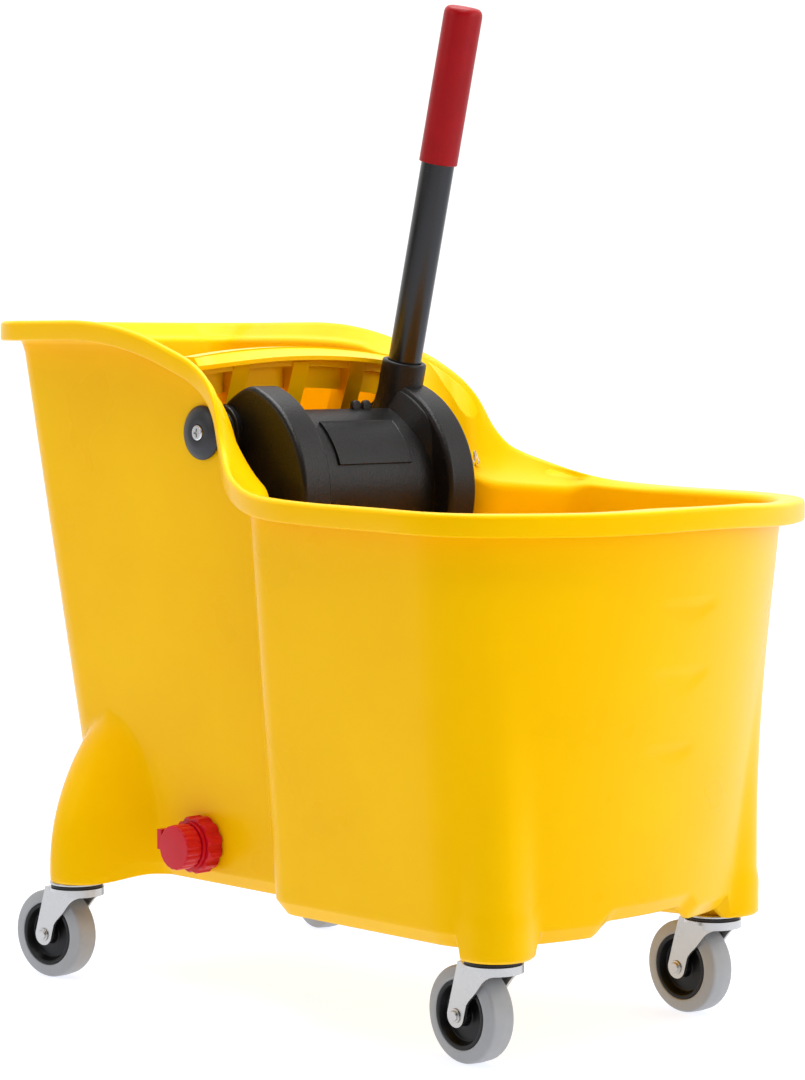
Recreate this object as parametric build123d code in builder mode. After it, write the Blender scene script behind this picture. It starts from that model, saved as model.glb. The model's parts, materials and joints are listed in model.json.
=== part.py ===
from build123d import *
import math
import os

os.makedirs("parts", exist_ok=True)

# Overall layout in millimetres: +X towards the low front end, +Z up, floor at zero
FRONT_RIM_X = 305.5
REAR_RIM_X = -305.5
REAR_RIM_HALF = 121.5
FRONT_RIM_HALF = 176.0
REAR_TOP_Z = 471.0
FRONT_TOP_Z = 355.0

# Cutting tools and fixed fits
REACH = 400.0
MARGIN = 10.0
FIT = 0.05

# Bucket wall as pairs at the base and at the reference height
BASE_Z = 78.0
REF_Z = 466.0
REAR_WALL_X = (-222.0, -289.0)
REAR_WALL_HALF = (95.5, 103.6)
FRONT_WALL_HALF = (138.0, 171.0)
FRONT_WALL_X = (250.5, 307.5)
FRONT_CORNER_X = (182.5, 189.5)
FRONT_CORNER_R = (50.0, 79.6)
REAR_CORNER_R = 28.0
STEP_EDGE_X = 53.5
STEP_OUTER_R = 26.0
STEP_INNER_R = 34.0
STEP_SLANT = math.radians(38.0)
WALL = 3.5
FLOOR_Z = 82.0
FLOOR_T = 4.0
BASE_BEVEL = 7.0
BASE_BEVEL_H = 10.0

# Turned-over rim and the line it sweeps down along, drawn at one distance from the mid-plane
RIM_H = 14.4
RIM_T = 3.5
RIM_REAR_R = 45.0
RIM_FRONT_R = 86.5
RIM_FRONT_CORNER_X = 187.0
RIM_STOCK_Z = 315.0
SWEEP_START_X = -67.5
SWEEP_END_X = 92.0
SWEEP_BEND_R = 103.5
SWEEP_LINE_Y = 107.0
SWEEP_SHEAR = 0.5
SWEEP_LINE = (
    (-180.0, REAR_TOP_Z),
    (-137.0, 463.6),
    (-97.0, 451.8),
    (-67.0, 439.6),
    (-49.0, 426.0),
    (-41.0, 414.5),
    (-34.0, 398.0),
    (-27.0, 384.0),
    (-19.5, 375.6),
    (-6.0, 367.2),
    (10.0, 360.8),
    (30.0, 356.6),
    (58.0, FRONT_TOP_Z),
)

# Casters: place and yaw of each swivel
WHEEL_R = 31.75
WHEEL_HALF = 10.2
TRAIL = 20.6
FOOT_Z = 71.5
FRONT_SWIVEL = (211.0, 106.5)
REAR_SWIVEL = (-183.0, 127.0)
CASTERS = {
    "front_near": (FRONT_SWIVEL[0], -FRONT_SWIVEL[1], -4.0),
    "front_far": (FRONT_SWIVEL[0], FRONT_SWIVEL[1], -3.5),
    "rear_near": (REAR_SWIVEL[0], -REAR_SWIVEL[1], 8.5),
    "rear_far": (REAR_SWIVEL[0], REAR_SWIVEL[1], -10.0),
}

# Caster stem, bearing and fork
STEM_R = 5.5
STEM_TOP_Z = 112.0
STEM_BOSS_R = 13.0
STEM_BOSS_TOP_Z = 117.0
STEM_SOCKET_TOP_Z = 113.0
STEM_GROOVE_Z = 103.0
STEM_GROOVE_W = 2.0
STEM_GROOVE_DEEP = 0.8
STEM_RIVET_R = 7.0
STEM_RIVET_H = 2.3
STEM_RIVET_GAP = 0.4
CROWN_Z = 64.8
CROWN_T = 2.2
CROWN_R = 19.6
CROWN_SKIRT_H = 3.2
CROWN_SKIRT_T = 2.0
CROWN_SKIRT_X = 8.0
RACE_Z = 69.4
SEAL_OUTER_R = 18.4
SEAL_INNER_R = 15.8
SEAL_PLAY = 0.35
BALL_R = 1.15
BALL_COUNT = 14
BALL_PITCH_R = 12.5
BALL_PLAY = 0.02
LEG_IN = 11.3
LEG_T = 2.2
LEG_BACK_X = -18.5
LEG_EYE = (7.6, 1.2)
LEG_NECK = ((-10.5, 39.5), (-2.6, 48.0), (5.0, 56.5), (14.0, 61.5))

# Caster wheel: radius and half-width points of the hub and tread sides
AXLE_R = 3.0
AXLE_HEADS = ((4.7, 1.0), (3.4, 1.3))
HUB_BORE_R = 3.06
HUB_FACE_R = 22.4
HUB_SIDE = ((6.5, WHEEL_HALF), (7.5, 5.5), (17.5, 4.5), (19.6, WHEEL_HALF))
TREAD_SEAT = 0.02
TREAD_SIDE = ((24.5, WHEEL_HALF), (30.5, 8.7), (31.35, 7.4))

# Front feet, and the arch raised between them
FRONT_FOOT_R = 25.0
FRONT_FOOT_OUT = (3.0, 1.0)
FRONT_FOOT_TOP_Z = 200.0
FRONT_FOOT_LEAN = 5.0
FRONT_FOOT_TAPER = 4.0
ARCH_HALF = 62.0
ARCH_LOW_Z = 74.0
ARCH_TOP_Z = 92.0
ARCH_SLOPE = 58.0
ARCH_X = 223.0
NOSE_FLOOR_X = 215.0
NOSE_FLOOR_HALF = 78.0
NOSE_FLOOR_Z = 97.0
NOSE_INSET = 1.0

# Rear feet: outboard centre, outer radius and half-width at the wall, then the same by height
FENDER_BASE = (127.0, 21.0, 36.0)
FENDER_LEVELS = (
    (104.0, 125.5, 20.0, 30.0),
    (136.0, 119.5, 16.5, 23.0),
    (162.0, 110.0, 11.0, 14.5),
    (184.0, 98.0, 5.0, 6.0),
)
FENDER_ROOT_Y = 84.0
FENDER_REAR_SHARE = 0.72
FENDER_SKIN_DROP = 1.6
FENDER_SKIN_IN = 0.15
FENDER_SKIN_SPREAD = 1.3
FENDER_TIP = 1.2

# Fill marks on the front face, height and face position
FILL_MARKS = ((286.0, 281.0), (241.0, 274.4), (192.0, 267.2))
MARK_W = 38.0
MARK_H = 11.0
MARK_PROUD = 1.8
MARK_TIP_W = 4.6
FACE_SLOPE = 0.15

# Wringer grate
GRATE_LINE = ((-82.5, 441.0), (-99.5, 395.0), (-121.5, 350.0), (-147.5, 300.0), (-161.5, 275.0))
GRATE_T = 4.5
GRATE_HALF = 95.6
GRATE_SLOT_TOP = 445.0
GRATE_SLOT_LOW = 290.0
OUTER_SLOT_Y = 78.0
OUTER_SLOT_W = 29.0
CROSS_BAR_Z = 366.0
CROSS_BAR_H = 12.0
RIB_PITCH = 56.0
RIB_W = 15.0
RIB_DEPTH = 15.0
LIP_HALF = 98.8
LIP_DROP = 7.3
UPSTAND = (-84.5, 13.0, 452.2, 14.0)
SKIRT = (-94.0, 3.5, 441.0, 18.1)
SHELF_EDGE = (-68.0, 444.0, 3.0)
SHELF_RUN = (-18.5, 8.2)

# Press axis and press body
PIVOT_X = -70.5
PIVOT_Z = 393.0
PIVOT_R = 7.0
PIVOT_PLAY = 0.03
DRUM_X = -66.5
DRUM_Z = 351.0
CHEEK_R = 78.0
CHEEK_IN = 55.0
CHEEK_OUT = 81.0
CHEEK_ROUND = 4.0
CHEEK_BACK = ((-90.5, 398.0), (-71.5, 275.0))
CHEEK_CREST = ((-66.0, 414.0), (-40.0, 440.0))
CREST_REAR_X = -140.0
SADDLE_R = 61.0
PLATE_BACK = ((-45.5, 411.0), (-71.5, 285.0))
PRESS_SKIN = 4.0
PRESS_MOUTH_X = -56.5
PRESS_MOUTH = (46.0, 98.0, 20.0)
PAD_ANGLE = 38.0
PAD_Y = 2.0
PAD_L = 30.0
PAD_W = 70.0
PAD_PROUD = 2.0
HUB_R = 16.0
HUB_START = 80.5
HUB_END = 97.8
COLLAR_R = 19.5
COLLAR_L = 7.5
SHANK_SEAT_Y = 84.0
GUSSET_X = -45.5
GUSSET_Z = 410.0
GUSSET_YS = (17.5, 27.5)
GUSSET_R = 4.3
GUSSET_L = 4.0

# Handle
HANDLE_Y = 68.0
HANDLE_LEAN = 13.6
HANDLE_FOOT_Z = 376.0
HANDLE_TOP_Z = 690.0
HANDLE_REF = (-47.5, 441.0)
TUBE_R = 11.9
TUBE_WALL = 1.8
TUBE_END_GAP = 0.2
SOCKET_R = 16.0
SOCKET_FLOOR = 6.0
SOCKET_TOP_Z = 442.0
GRIP_R = 13.7
GRIP_LEN = 111.0
GRIP_END_T = 3.6
GRIP_END_ROUND = 6.0
GRIP_LIP_ROUND = 1.0

# Pivot caps and screws, distances out from the mid-plane
CAP_R = 18.8
CAP_TOP_R = 10.3
CAP_SEAT_Y = 102.9
CAP_RIM = 1.6
CAP_DOME = 5.2
SCREW_R = 2.4
SCREW_FOOT_Y = 80.2
SCREW_HEAD_R = 5.4
SCREW_HEAD_H = 2.4
SCREW_HEAD_ROUND = 1.1
SCREW_RECESS = 1.6
SCREW_SLOT = (6.0, 1.5)
SCREW_SLOT_DEEP = 1.4

# Stop clip on the far inner wall
CLIP_POINT = (-6.2, 102.0, 371.0)
CLIP_TURN = 27.6
CLIP_H = 9.0
CLIP_PLATE = (-3.0, 3.0, 1.2)
CLIP_FIN = (-3.3, -1.7, 4.0)

# Drain, distances out from the mid-plane
DRAIN_X = -77.5
DRAIN_Z = 107.0
DRAIN_CUT_Y = 70.0
SPOUT_R = 12.0
SPOUT_BORE_R = 9.5
SPOUT_PLAY = 0.1
SPOUT_FLANGE_R = 18.0
SPOUT_FLANGE_T = 3.0
SPOUT_FLANGE_Y = 87.2
SPOUT_END_Y = 121.6
GASKET_R = 17.0
GASKET_T = 1.6
NUT_R = 20.0
NUT_Y = 96.9
NUT_L = 12.6
NUT_BEVEL = 1.2
SCALLOPS = 12
SCALLOP_R = 4.2
SCALLOP_PITCH_R = 22.2
STRAP_Y = 109.8
STRAP_T = 2.2
STRAP_R = 16.5
STRAP_BORE_R = 12.3
TAB_X = -19.2
TAB_UP = 3.2
TAB_ROOT = (6.6, 14.0)
TAB_END_X = -20.2
TAB_END = (4.6, 14.0)
TAB_LEN = 11.5
DRAIN_CAP_R = 15.6
DRAIN_CAP_Y = 112.4
DRAIN_CAP_L = 13.0
DRAIN_CAP_T = 2.4
DRAIN_CAP_PLAY = 0.4
DRAIN_CAP_ROUND = 1.0
CAP_SEAL_T = 0.7
CAP_SEAL_GAP = 0.1


def save(builder, name):
    builder.part.label = name
    export_step(builder.part, "parts/" + name + ".step")


def both_sides(piece, mode=Mode.ADD):
    """The piece and its mirror image across the mid-plane."""
    add(piece, mode=mode)
    mirror(piece, about=Plane.XZ, mode=mode)


def at_height(pair, z):
    return pair[0] + (pair[1] - pair[0]) * (z - BASE_Z) / (REF_Z - BASE_Z)


def tangent_front(front_x, corner_x, corner_y, corner_r):
    """Where the corner arc meets the bowed front arc centred on the mid-plane."""
    depth = front_x - corner_x
    bow = (depth ** 2 + corner_y ** 2 - corner_r ** 2) / (2 * (depth - corner_r))
    bow_x = front_x - bow
    reach = math.hypot(corner_x - bow_x, corner_y)
    ux = (corner_x - bow_x) / reach
    uy = corner_y / reach
    return (bow_x + bow * ux, bow * uy), (uy, -ux)


def wall_plan(z, inset):
    """Stepped plan of the bucket wall at one height, drawn inside the wall face by inset."""
    rear = at_height(REAR_WALL_X, z) + inset
    side = at_height(REAR_WALL_HALF, z) - inset
    wide = at_height(FRONT_WALL_HALF, z) - inset
    nose = at_height(FRONT_WALL_X, z) - inset
    corner_x = at_height(FRONT_CORNER_X, z)
    corner_r = at_height(FRONT_CORNER_R, z) - inset
    r_rear = REAR_CORNER_R - inset
    r_out = STEP_OUTER_R - inset
    r_in = STEP_INNER_R + inset
    along = (math.sin(STEP_SLANT), math.cos(STEP_SLANT))
    rise = wide - side - (r_in + r_out) * (1 - along[0])
    fold = (STEP_EDGE_X - r_out * along[1], wide - r_out * (1 - along[0]))
    crease = (fold[0] - rise * along[0] / along[1], fold[1] - rise)
    bend_x = crease[0] - r_in * along[1]
    join, heading = tangent_front(nose, corner_x, wide - corner_r, corner_r)
    with BuildSketch(Plane.XY.offset(z)) as plan:
        with BuildLine():
            Line((rear, 0), (rear, side - r_rear))
            TangentArc((rear, side - r_rear), (rear + r_rear, side), tangent=(0, 1))
            Line((rear + r_rear, side), (bend_x, side))
            TangentArc((bend_x, side), crease, tangent=(1, 0))
            Line(crease, fold)
            TangentArc(fold, (STEP_EDGE_X, wide), tangent=along)
            Line((STEP_EDGE_X, wide), (corner_x, wide))
            TangentArc((corner_x, wide), join, tangent=(1, 0))
            TangentArc(join, (nose, 0), tangent=heading)
            mirror(about=Plane.XZ)
        make_face()
    return plan.sketch


def rim_plan(z, inset):
    """Smooth outer plan of the turned-over rim."""
    rear = REAR_RIM_X + inset
    side = REAR_RIM_HALF - inset
    wide = FRONT_RIM_HALF - inset
    nose = FRONT_RIM_X - inset
    r_rear = RIM_REAR_R - inset
    corner_r = RIM_FRONT_R - inset
    turn = 2 * math.atan2(FRONT_RIM_HALF - REAR_RIM_HALF, SWEEP_END_X - SWEEP_START_X)
    bend_r = SWEEP_BEND_R + inset
    middle = (SWEEP_START_X + bend_r * math.sin(turn), side + bend_r * (1 - math.cos(turn)))
    join, heading = tangent_front(nose, RIM_FRONT_CORNER_X, wide - corner_r, corner_r)
    with BuildSketch(Plane.XY.offset(z)) as plan:
        with BuildLine():
            Line((rear, 0), (rear, side - r_rear))
            TangentArc((rear, side - r_rear), (rear + r_rear, side), tangent=(0, 1))
            Line((rear + r_rear, side), (SWEEP_START_X, side))
            TangentArc((SWEEP_START_X, side), middle, tangent=(1, 0))
            TangentArc(middle, (SWEEP_END_X, wide), tangent=(math.cos(turn), math.sin(turn)))
            Line((SWEEP_END_X, wide), (RIM_FRONT_CORNER_X, wide))
            TangentArc((RIM_FRONT_CORNER_X, wide), join, tangent=(1, 0))
            TangentArc(join, (nose, 0), tangent=heading)
            mirror(about=Plane.XZ)
        make_face()
    return plan.sketch


def above_rim(drop):
    """Everything above the swept rim line lowered by drop, for the far half (+Y)."""
    shift = -SWEEP_SHEAR * SWEEP_LINE_Y
    line = [(x + shift, z - drop) for x, z in SWEEP_LINE]
    rear_x = shift - REACH
    top_z = REAR_TOP_Z + 6 * MARGIN
    with BuildPart() as tool:
        with BuildSketch(Plane.XZ) as side_view:
            with BuildLine():
                Polyline((rear_x, top_z), (rear_x, line[0][1]), line[0])
                Spline(*line, tangents=((1, 0), (1, 0)))
                Polyline(line[-1], (REACH, line[-1][1]), (REACH, top_z), (rear_x, top_z))
            make_face()
        extrude(side_view.sketch, amount=REACH / 2, dir=(SWEEP_SHEAR, 1, 0))
    return tool.part


def fender_section(z, y_out, radius, spread):
    """One level of a rear foot: round outboard, widening towards the wall."""
    x = REAR_SWIVEL[0]
    rear_spread = spread * FENDER_REAR_SHARE
    with BuildSketch(Plane.XY.offset(z)) as level:
        with BuildLine():
            ThreePointArc((x - radius, y_out), (x, y_out + radius), (x + radius, y_out))
            Polyline(
                (x + radius, y_out),
                (x + spread, FENDER_ROOT_Y),
                (x - rear_spread, FENDER_ROOT_Y),
                (x - radius, y_out),
            )
        make_face()
    return level.sketch


def fender(shrink, bottom):
    """Rear foot down to the height bottom, its sloping skin moved in by shrink."""
    levels = [(bottom, *FENDER_BASE)]
    levels += [(z - FENDER_SKIN_DROP * shrink, *size) for z, *size in FENDER_LEVELS]
    with BuildPart() as solid:
        loft([
            fender_section(
                z,
                y_out - FENDER_SKIN_IN * shrink,
                max(radius - shrink, FENDER_TIP),
                max(spread - FENDER_SKIN_SPREAD * shrink, FENDER_TIP),
            )
            for z, y_out, radius, spread in levels
        ])
    return solid.part


# Turned-over rim: an L-shaped edge that hangs outside the wall and follows the sweep
standing = (Align.CENTER, Align.CENTER, Align.MIN)
cut_top = above_rim(0)
cut_flange = above_rim(RIM_T)
cut_low = above_rim(RIM_H)

with BuildPart() as rim_channel:
    extrude(rim_plan(RIM_STOCK_Z - MARGIN, RIM_T), amount=REAR_TOP_Z - RIM_STOCK_Z + 2 * MARGIN)
    both_sides(cut_flange, Mode.SUBTRACT)

with BuildPart() as below_rim:
    Box(2 * REACH, REACH, REAR_TOP_Z + MARGIN, align=standing)
    both_sides(cut_low, Mode.SUBTRACT)

with BuildPart() as rim:
    extrude(rim_plan(RIM_STOCK_Z, 0), amount=REAR_TOP_Z - RIM_STOCK_Z + MARGIN)
    add(rim_channel.part, mode=Mode.SUBTRACT)
    add(below_rim.part, mode=Mode.SUBTRACT)

# Hollows under the bucket and inside the rear feet, and the raised floor at the nose
outer_fender = fender(0, FOOT_Z)
front_foot = (FRONT_SWIVEL[0] + FRONT_FOOT_OUT[0], FRONT_SWIVEL[1] + FRONT_FOOT_OUT[1])

with BuildPart() as underside:
    extrude(wall_plan(BASE_Z - MARGIN, BASE_BEVEL + WALL), amount=FLOOR_Z - BASE_Z + MARGIN)
    with Locations((front_foot[0], -front_foot[1]), (front_foot[0], front_foot[1])):
        Cylinder(FRONT_FOOT_R, FLOOR_Z, align=standing, mode=Mode.SUBTRACT)
    both_sides(outer_fender, Mode.SUBTRACT)

with BuildPart() as fender_space:
    both_sides(fender(WALL, FOOT_Z - MARGIN))
    loft([wall_plan(BASE_Z - 2 * MARGIN, 0), wall_plan(REF_Z, 0)], ruled=True, mode=Mode.SUBTRACT)

with BuildPart() as nose_floor:
    loft([wall_plan(BASE_Z, NOSE_INSET), wall_plan(REF_Z, NOSE_INSET)], ruled=True)
    with Locations((NOSE_FLOOR_X, 0, FLOOR_Z)):
        Box(
            REACH, 2 * NOSE_FLOOR_HALF, NOSE_FLOOR_Z - FLOOR_Z,
            align=(Align.MIN, Align.CENTER, Align.MIN), mode=Mode.INTERSECT,
        )

# Bucket body: one thick moulding, stepped in plan, with a swept rim and four feet
with BuildPart() as bucket_body:
    loft([wall_plan(BASE_Z, BASE_BEVEL), wall_plan(BASE_Z + BASE_BEVEL_H, 0)], ruled=True)
    loft([wall_plan(BASE_Z + BASE_BEVEL_H, 0), wall_plan(REAR_TOP_Z, 0)], ruled=True)
    both_sides(outer_fender)
    # front feet swell from the front corners and fade out upwards
    for side in (-1, 1):
        with BuildSketch(Plane.XY.offset(FOOT_Z)):
            with Locations((front_foot[0], side * front_foot[1])):
                Circle(FRONT_FOOT_R)
        with BuildSketch(Plane.XY.offset(FRONT_FOOT_TOP_Z)):
            with Locations((front_foot[0] - FRONT_FOOT_LEAN, side * (front_foot[1] - FRONT_FOOT_LEAN))):
                Circle(FRONT_FOOT_R - FRONT_FOOT_TAPER)
        loft(ruled=True)
    add(rim.part)
    both_sides(cut_top, Mode.SUBTRACT)
    # water space, hollow underside and hollow rear feet
    floor_plan = wall_plan(FLOOR_Z + FLOOR_T, WALL)
    loft([floor_plan, wall_plan(REAR_TOP_Z + MARGIN, WALL)], ruled=True, mode=Mode.SUBTRACT)
    add(underside.part, mode=Mode.SUBTRACT)
    add(fender_space.part, mode=Mode.SUBTRACT)
    # raised arch in the lower edge between the front feet
    add(nose_floor.part)
    with BuildSketch(Plane.YZ.offset(ARCH_X)):
        with Locations((0, ARCH_LOW_Z)):
            Trapezoid(2 * ARCH_HALF, ARCH_TOP_Z - ARCH_LOW_Z, ARCH_SLOPE, align=(Align.CENTER, Align.MIN))
    extrude(amount=REACH, mode=Mode.SUBTRACT)
    # caster stem sockets
    with Locations(*[(x, y, FOOT_Z) for x, y, _ in CASTERS.values()]):
        Cylinder(STEM_BOSS_R, STEM_BOSS_TOP_Z - FOOT_Z, align=standing)
        Cylinder(STEM_R + FIT, STEM_SOCKET_TOP_Z - FOOT_Z, align=standing, mode=Mode.SUBTRACT)
    # pivot holes in both side walls and the drain hole in the near wall
    with BuildSketch(Plane.XZ):
        with Locations((PIVOT_X, PIVOT_Z)):
            Circle(PIVOT_R)
    extrude(amount=REACH, both=True, mode=Mode.SUBTRACT)
    with BuildSketch(Plane.XZ.offset(DRAIN_CUT_Y)):
        with Locations((DRAIN_X, DRAIN_Z)):
            Circle(SPOUT_R + SPOUT_PLAY)
    extrude(amount=REACH, mode=Mode.SUBTRACT)
    # fill marks moulded on the front face, each tapering to a point below
    for mark_z, mark_x in FILL_MARKS:
        with BuildSketch(Plane.XY.offset(mark_z)):
            with Locations((mark_x, 0)):
                Rectangle(2 * MARK_PROUD, MARK_W)
        with BuildSketch(Plane.XY.offset(mark_z - MARK_H)):
            with Locations((mark_x - MARK_H * FACE_SLOPE - MARK_PROUD, 0)):
                Rectangle(MARK_PROUD, MARK_TIP_W)
        loft(ruled=True)
save(bucket_body, "bucket_body")


# Wringer grate: arched shelf across the bucket, slotted curved plate and stiffening ribs below it
def grate_profile(y, depth):
    """Side view of the curved plate or of a rib, on the plane at y."""
    with BuildSketch(Plane.XZ.offset(-y)) as profile:
        with BuildLine():
            front = Spline(*GRATE_LINE)
            back = Spline(*[(x - depth, z) for x, z in reversed(GRATE_LINE)])
            Line(front @ 1, back @ 0)
            Line(back @ 1, front @ 0)
        make_face()
    return profile.sketch


def arched_band(x, mid_z, band_h):
    """Face across the bucket at x, arched upwards, its upper edge at mid_z on the mid-plane."""
    with BuildSketch(Plane.YZ.offset(x)) as band:
        with BuildLine():
            top = ThreePointArc((-LIP_HALF, mid_z - LIP_DROP), (0, mid_z), (LIP_HALF, mid_z - LIP_DROP))
            low_z = mid_z - band_h
            low = ThreePointArc((LIP_HALF, low_z - LIP_DROP), (0, low_z), (-LIP_HALF, low_z - LIP_DROP))
            Line(top @ 1, low @ 0)
            Line(low @ 1, top @ 0)
        make_face()
    return band.sketch


with BuildPart() as cross_bar:
    extrude(grate_profile(0, GRATE_T), amount=GRATE_HALF, both=True)
    with Locations((0, 0, CROSS_BAR_Z)):
        Box(2 * REACH, REACH, CROSS_BAR_H, mode=Mode.INTERSECT)

with BuildPart() as wringer_grate:
    extrude(grate_profile(0, GRATE_T), amount=GRATE_HALF, both=True)
    slot_z = (GRATE_SLOT_TOP + GRATE_SLOT_LOW) / 2
    slot_h = GRATE_SLOT_TOP - GRATE_SLOT_LOW
    with BuildSketch(Plane.YZ):
        with Locations((-RIB_PITCH / 2, slot_z), (RIB_PITCH / 2, slot_z)):
            Rectangle(RIB_PITCH - RIB_W, slot_h)
        with Locations((-OUTER_SLOT_Y, slot_z), (OUTER_SLOT_Y, slot_z)):
            Rectangle(OUTER_SLOT_W, slot_h)
    extrude(amount=-REACH, mode=Mode.SUBTRACT)
    add(cross_bar.part)
    for rib_y in (-RIB_PITCH, 0, RIB_PITCH):
        extrude(grate_profile(rib_y, RIB_DEPTH), amount=RIB_W / 2, both=True)
    # upstand behind the shelf, a skirt hanging from its rear, and the shelf sloping down to the front
    for front_x, depth, mid_z, band_h in (UPSTAND, SKIRT):
        extrude(arched_band(front_x, mid_z, band_h), amount=-depth)
    run = math.hypot(*SHELF_RUN)
    extrude(arched_band(*SHELF_EDGE), amount=run, dir=(SHELF_RUN[0] / run, 0, SHELF_RUN[1] / run))
save(wringer_grate, "wringer_grate")

# Press body: two thick cheeks, a saddle between them and a flat squeezing plate at the back
lean = math.radians(HANDLE_LEAN)
handle_dir = (math.sin(lean), 0, math.cos(lean))


def handle_plane(z):
    """Plane square to the handle where its axis is at height z."""
    x = HANDLE_REF[0] + math.tan(lean) * (z - HANDLE_REF[1])
    return Plane(origin=(x, HANDLE_Y, z), x_dir=(0, 1, 0), z_dir=handle_dir)


def behind(top, low, gap):
    """Polygon behind a sloping rear face, moved forward by gap."""
    rise = (low[0] - top[0]) / (top[1] - low[1])
    high_z = DRUM_Z + 2 * CHEEK_R
    low_z = DRUM_Z - 2 * CHEEK_R
    high_x = top[0] - rise * (high_z - top[1]) + gap
    low_x = low[0] + rise * (low[1] - low_z) + gap
    return [(high_x, high_z), (low_x, low_z), (low_x - REACH, low_z), (high_x - REACH, high_z)]


def drum_slice(radius, back, gap, y_from, y_to, mode):
    """Round slice about the drum axis with a sloping rear face."""
    with BuildSketch(Plane.XZ.offset(-y_from)) as outline:
        with Locations((DRUM_X, DRUM_Z)):
            Circle(radius)
        with BuildLine():
            Polyline(*behind(back[0], back[1], gap), close=True)
        make_face(mode=Mode.SUBTRACT)
    extrude(outline.sketch, amount=y_from - y_to, mode=mode)


def pivot_disc(radius, start, length, side, mode=Mode.ADD):
    """Disc on the press axis from start outwards, on one side of the bucket."""
    with BuildSketch(Plane((PIVOT_X, 0, PIVOT_Z), (1, 0, 0), (0, side, 0)).offset(start)) as disc:
        Circle(radius)
    extrude(disc.sketch, amount=length, mode=mode)


with BuildPart() as press_body:
    for side in (-1, 1):
        drum_slice(CHEEK_R, CHEEK_BACK, 0, side * CHEEK_IN, side * CHEEK_OUT, Mode.ADD)
    with BuildSketch(Plane.XZ):
        with BuildLine():
            Polyline(
                CHEEK_BACK[0], *CHEEK_CREST,
                (CREST_REAR_X, CHEEK_CREST[1][1]), (CREST_REAR_X, CHEEK_BACK[0][1]), close=True,
            )
        make_face()
    extrude(amount=REACH, both=True, mode=Mode.SUBTRACT)
    fillet(press_body.edges().filter_by(GeomType.CIRCLE).group_by(SortBy.RADIUS)[-1], CHEEK_ROUND)
    drum_slice(SADDLE_R, PLATE_BACK, 0, -CHEEK_IN, CHEEK_IN, Mode.ADD)
    # blank raised pad on the saddle
    pad_turn = math.radians(PAD_ANGLE)
    pad_x = DRUM_X + SADDLE_R * math.cos(pad_turn)
    pad_z = DRUM_Z + SADDLE_R * math.sin(pad_turn)
    with Locations(Location((pad_x, PAD_Y, pad_z), (0, 90 - PAD_ANGLE, 0))):
        Box(PAD_L, PAD_W, 2 * PAD_PROUD)
    # two rounded gussets on the saddle's rear edge
    for gusset_y in GUSSET_YS:
        with Locations((GUSSET_X, gusset_y, GUSSET_Z)):
            Cylinder(GUSSET_R, GUSSET_L, rotation=(0, 90, 0))
    # handle socket rising from the far cheek
    with BuildSketch(handle_plane(HANDLE_FOOT_Z - SOCKET_FLOOR)):
        Circle(SOCKET_R)
    extrude(amount=(SOCKET_TOP_Z - HANDLE_FOOT_Z + SOCKET_FLOOR) / math.cos(lean))
    with BuildSketch(handle_plane(HANDLE_FOOT_Z)):
        Circle(TUBE_R + FIT)
    extrude(amount=REACH, mode=Mode.SUBTRACT)
    # hollow inside, open below
    drum_slice(SADDLE_R - PRESS_SKIN, PLATE_BACK, PRESS_SKIN, -CHEEK_IN, CHEEK_IN, Mode.SUBTRACT)
    with Locations((PRESS_MOUTH_X, 0, DRUM_Z - SADDLE_R)):
        Box(*PRESS_MOUTH, mode=Mode.SUBTRACT)
    # hubs towards the side walls, bored for the cap shanks and their screws
    for side in (-1, 1):
        pivot_disc(HUB_R, HUB_START, HUB_END - HUB_START, side)
        pivot_disc(COLLAR_R, HUB_START, COLLAR_L, side)
        pivot_disc(PIVOT_R - PIVOT_PLAY + FIT, SHANK_SEAT_Y, REACH, side, Mode.SUBTRACT)
        pivot_disc(SCREW_R + FIT, SCREW_FOOT_Y - FIT, REACH, side, Mode.SUBTRACT)
save(press_body, "press_body")

# Handle: a steel tube pushed into the press socket, with a dipped grip closed at the top
grip_low_z = HANDLE_TOP_Z - GRIP_LEN * math.cos(lean)
handle_len = (HANDLE_TOP_Z - HANDLE_FOOT_Z) / math.cos(lean)

with BuildPart() as handle_tube:
    with BuildSketch(handle_plane(HANDLE_FOOT_Z + TUBE_END_GAP)):
        Circle(TUBE_R)
        Circle(TUBE_R - TUBE_WALL, mode=Mode.SUBTRACT)
    extrude(amount=handle_len - GRIP_END_T - 2 * TUBE_END_GAP)
save(handle_tube, "handle_tube")

with BuildPart() as handle_grip:
    with BuildSketch(handle_plane(grip_low_z)):
        Circle(GRIP_R)
    extrude(amount=GRIP_LEN)
    fillet(handle_grip.faces().sort_by(Axis.Z)[-1].edges(), GRIP_END_ROUND)
    fillet(handle_grip.faces().sort_by(Axis.Z)[0].edges(), GRIP_LIP_ROUND)
    with BuildSketch(handle_plane(grip_low_z)):
        Circle(TUBE_R + FIT)
    extrude(amount=GRIP_LEN - GRIP_END_T, mode=Mode.SUBTRACT)
save(handle_grip, "handle_grip")

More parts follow.
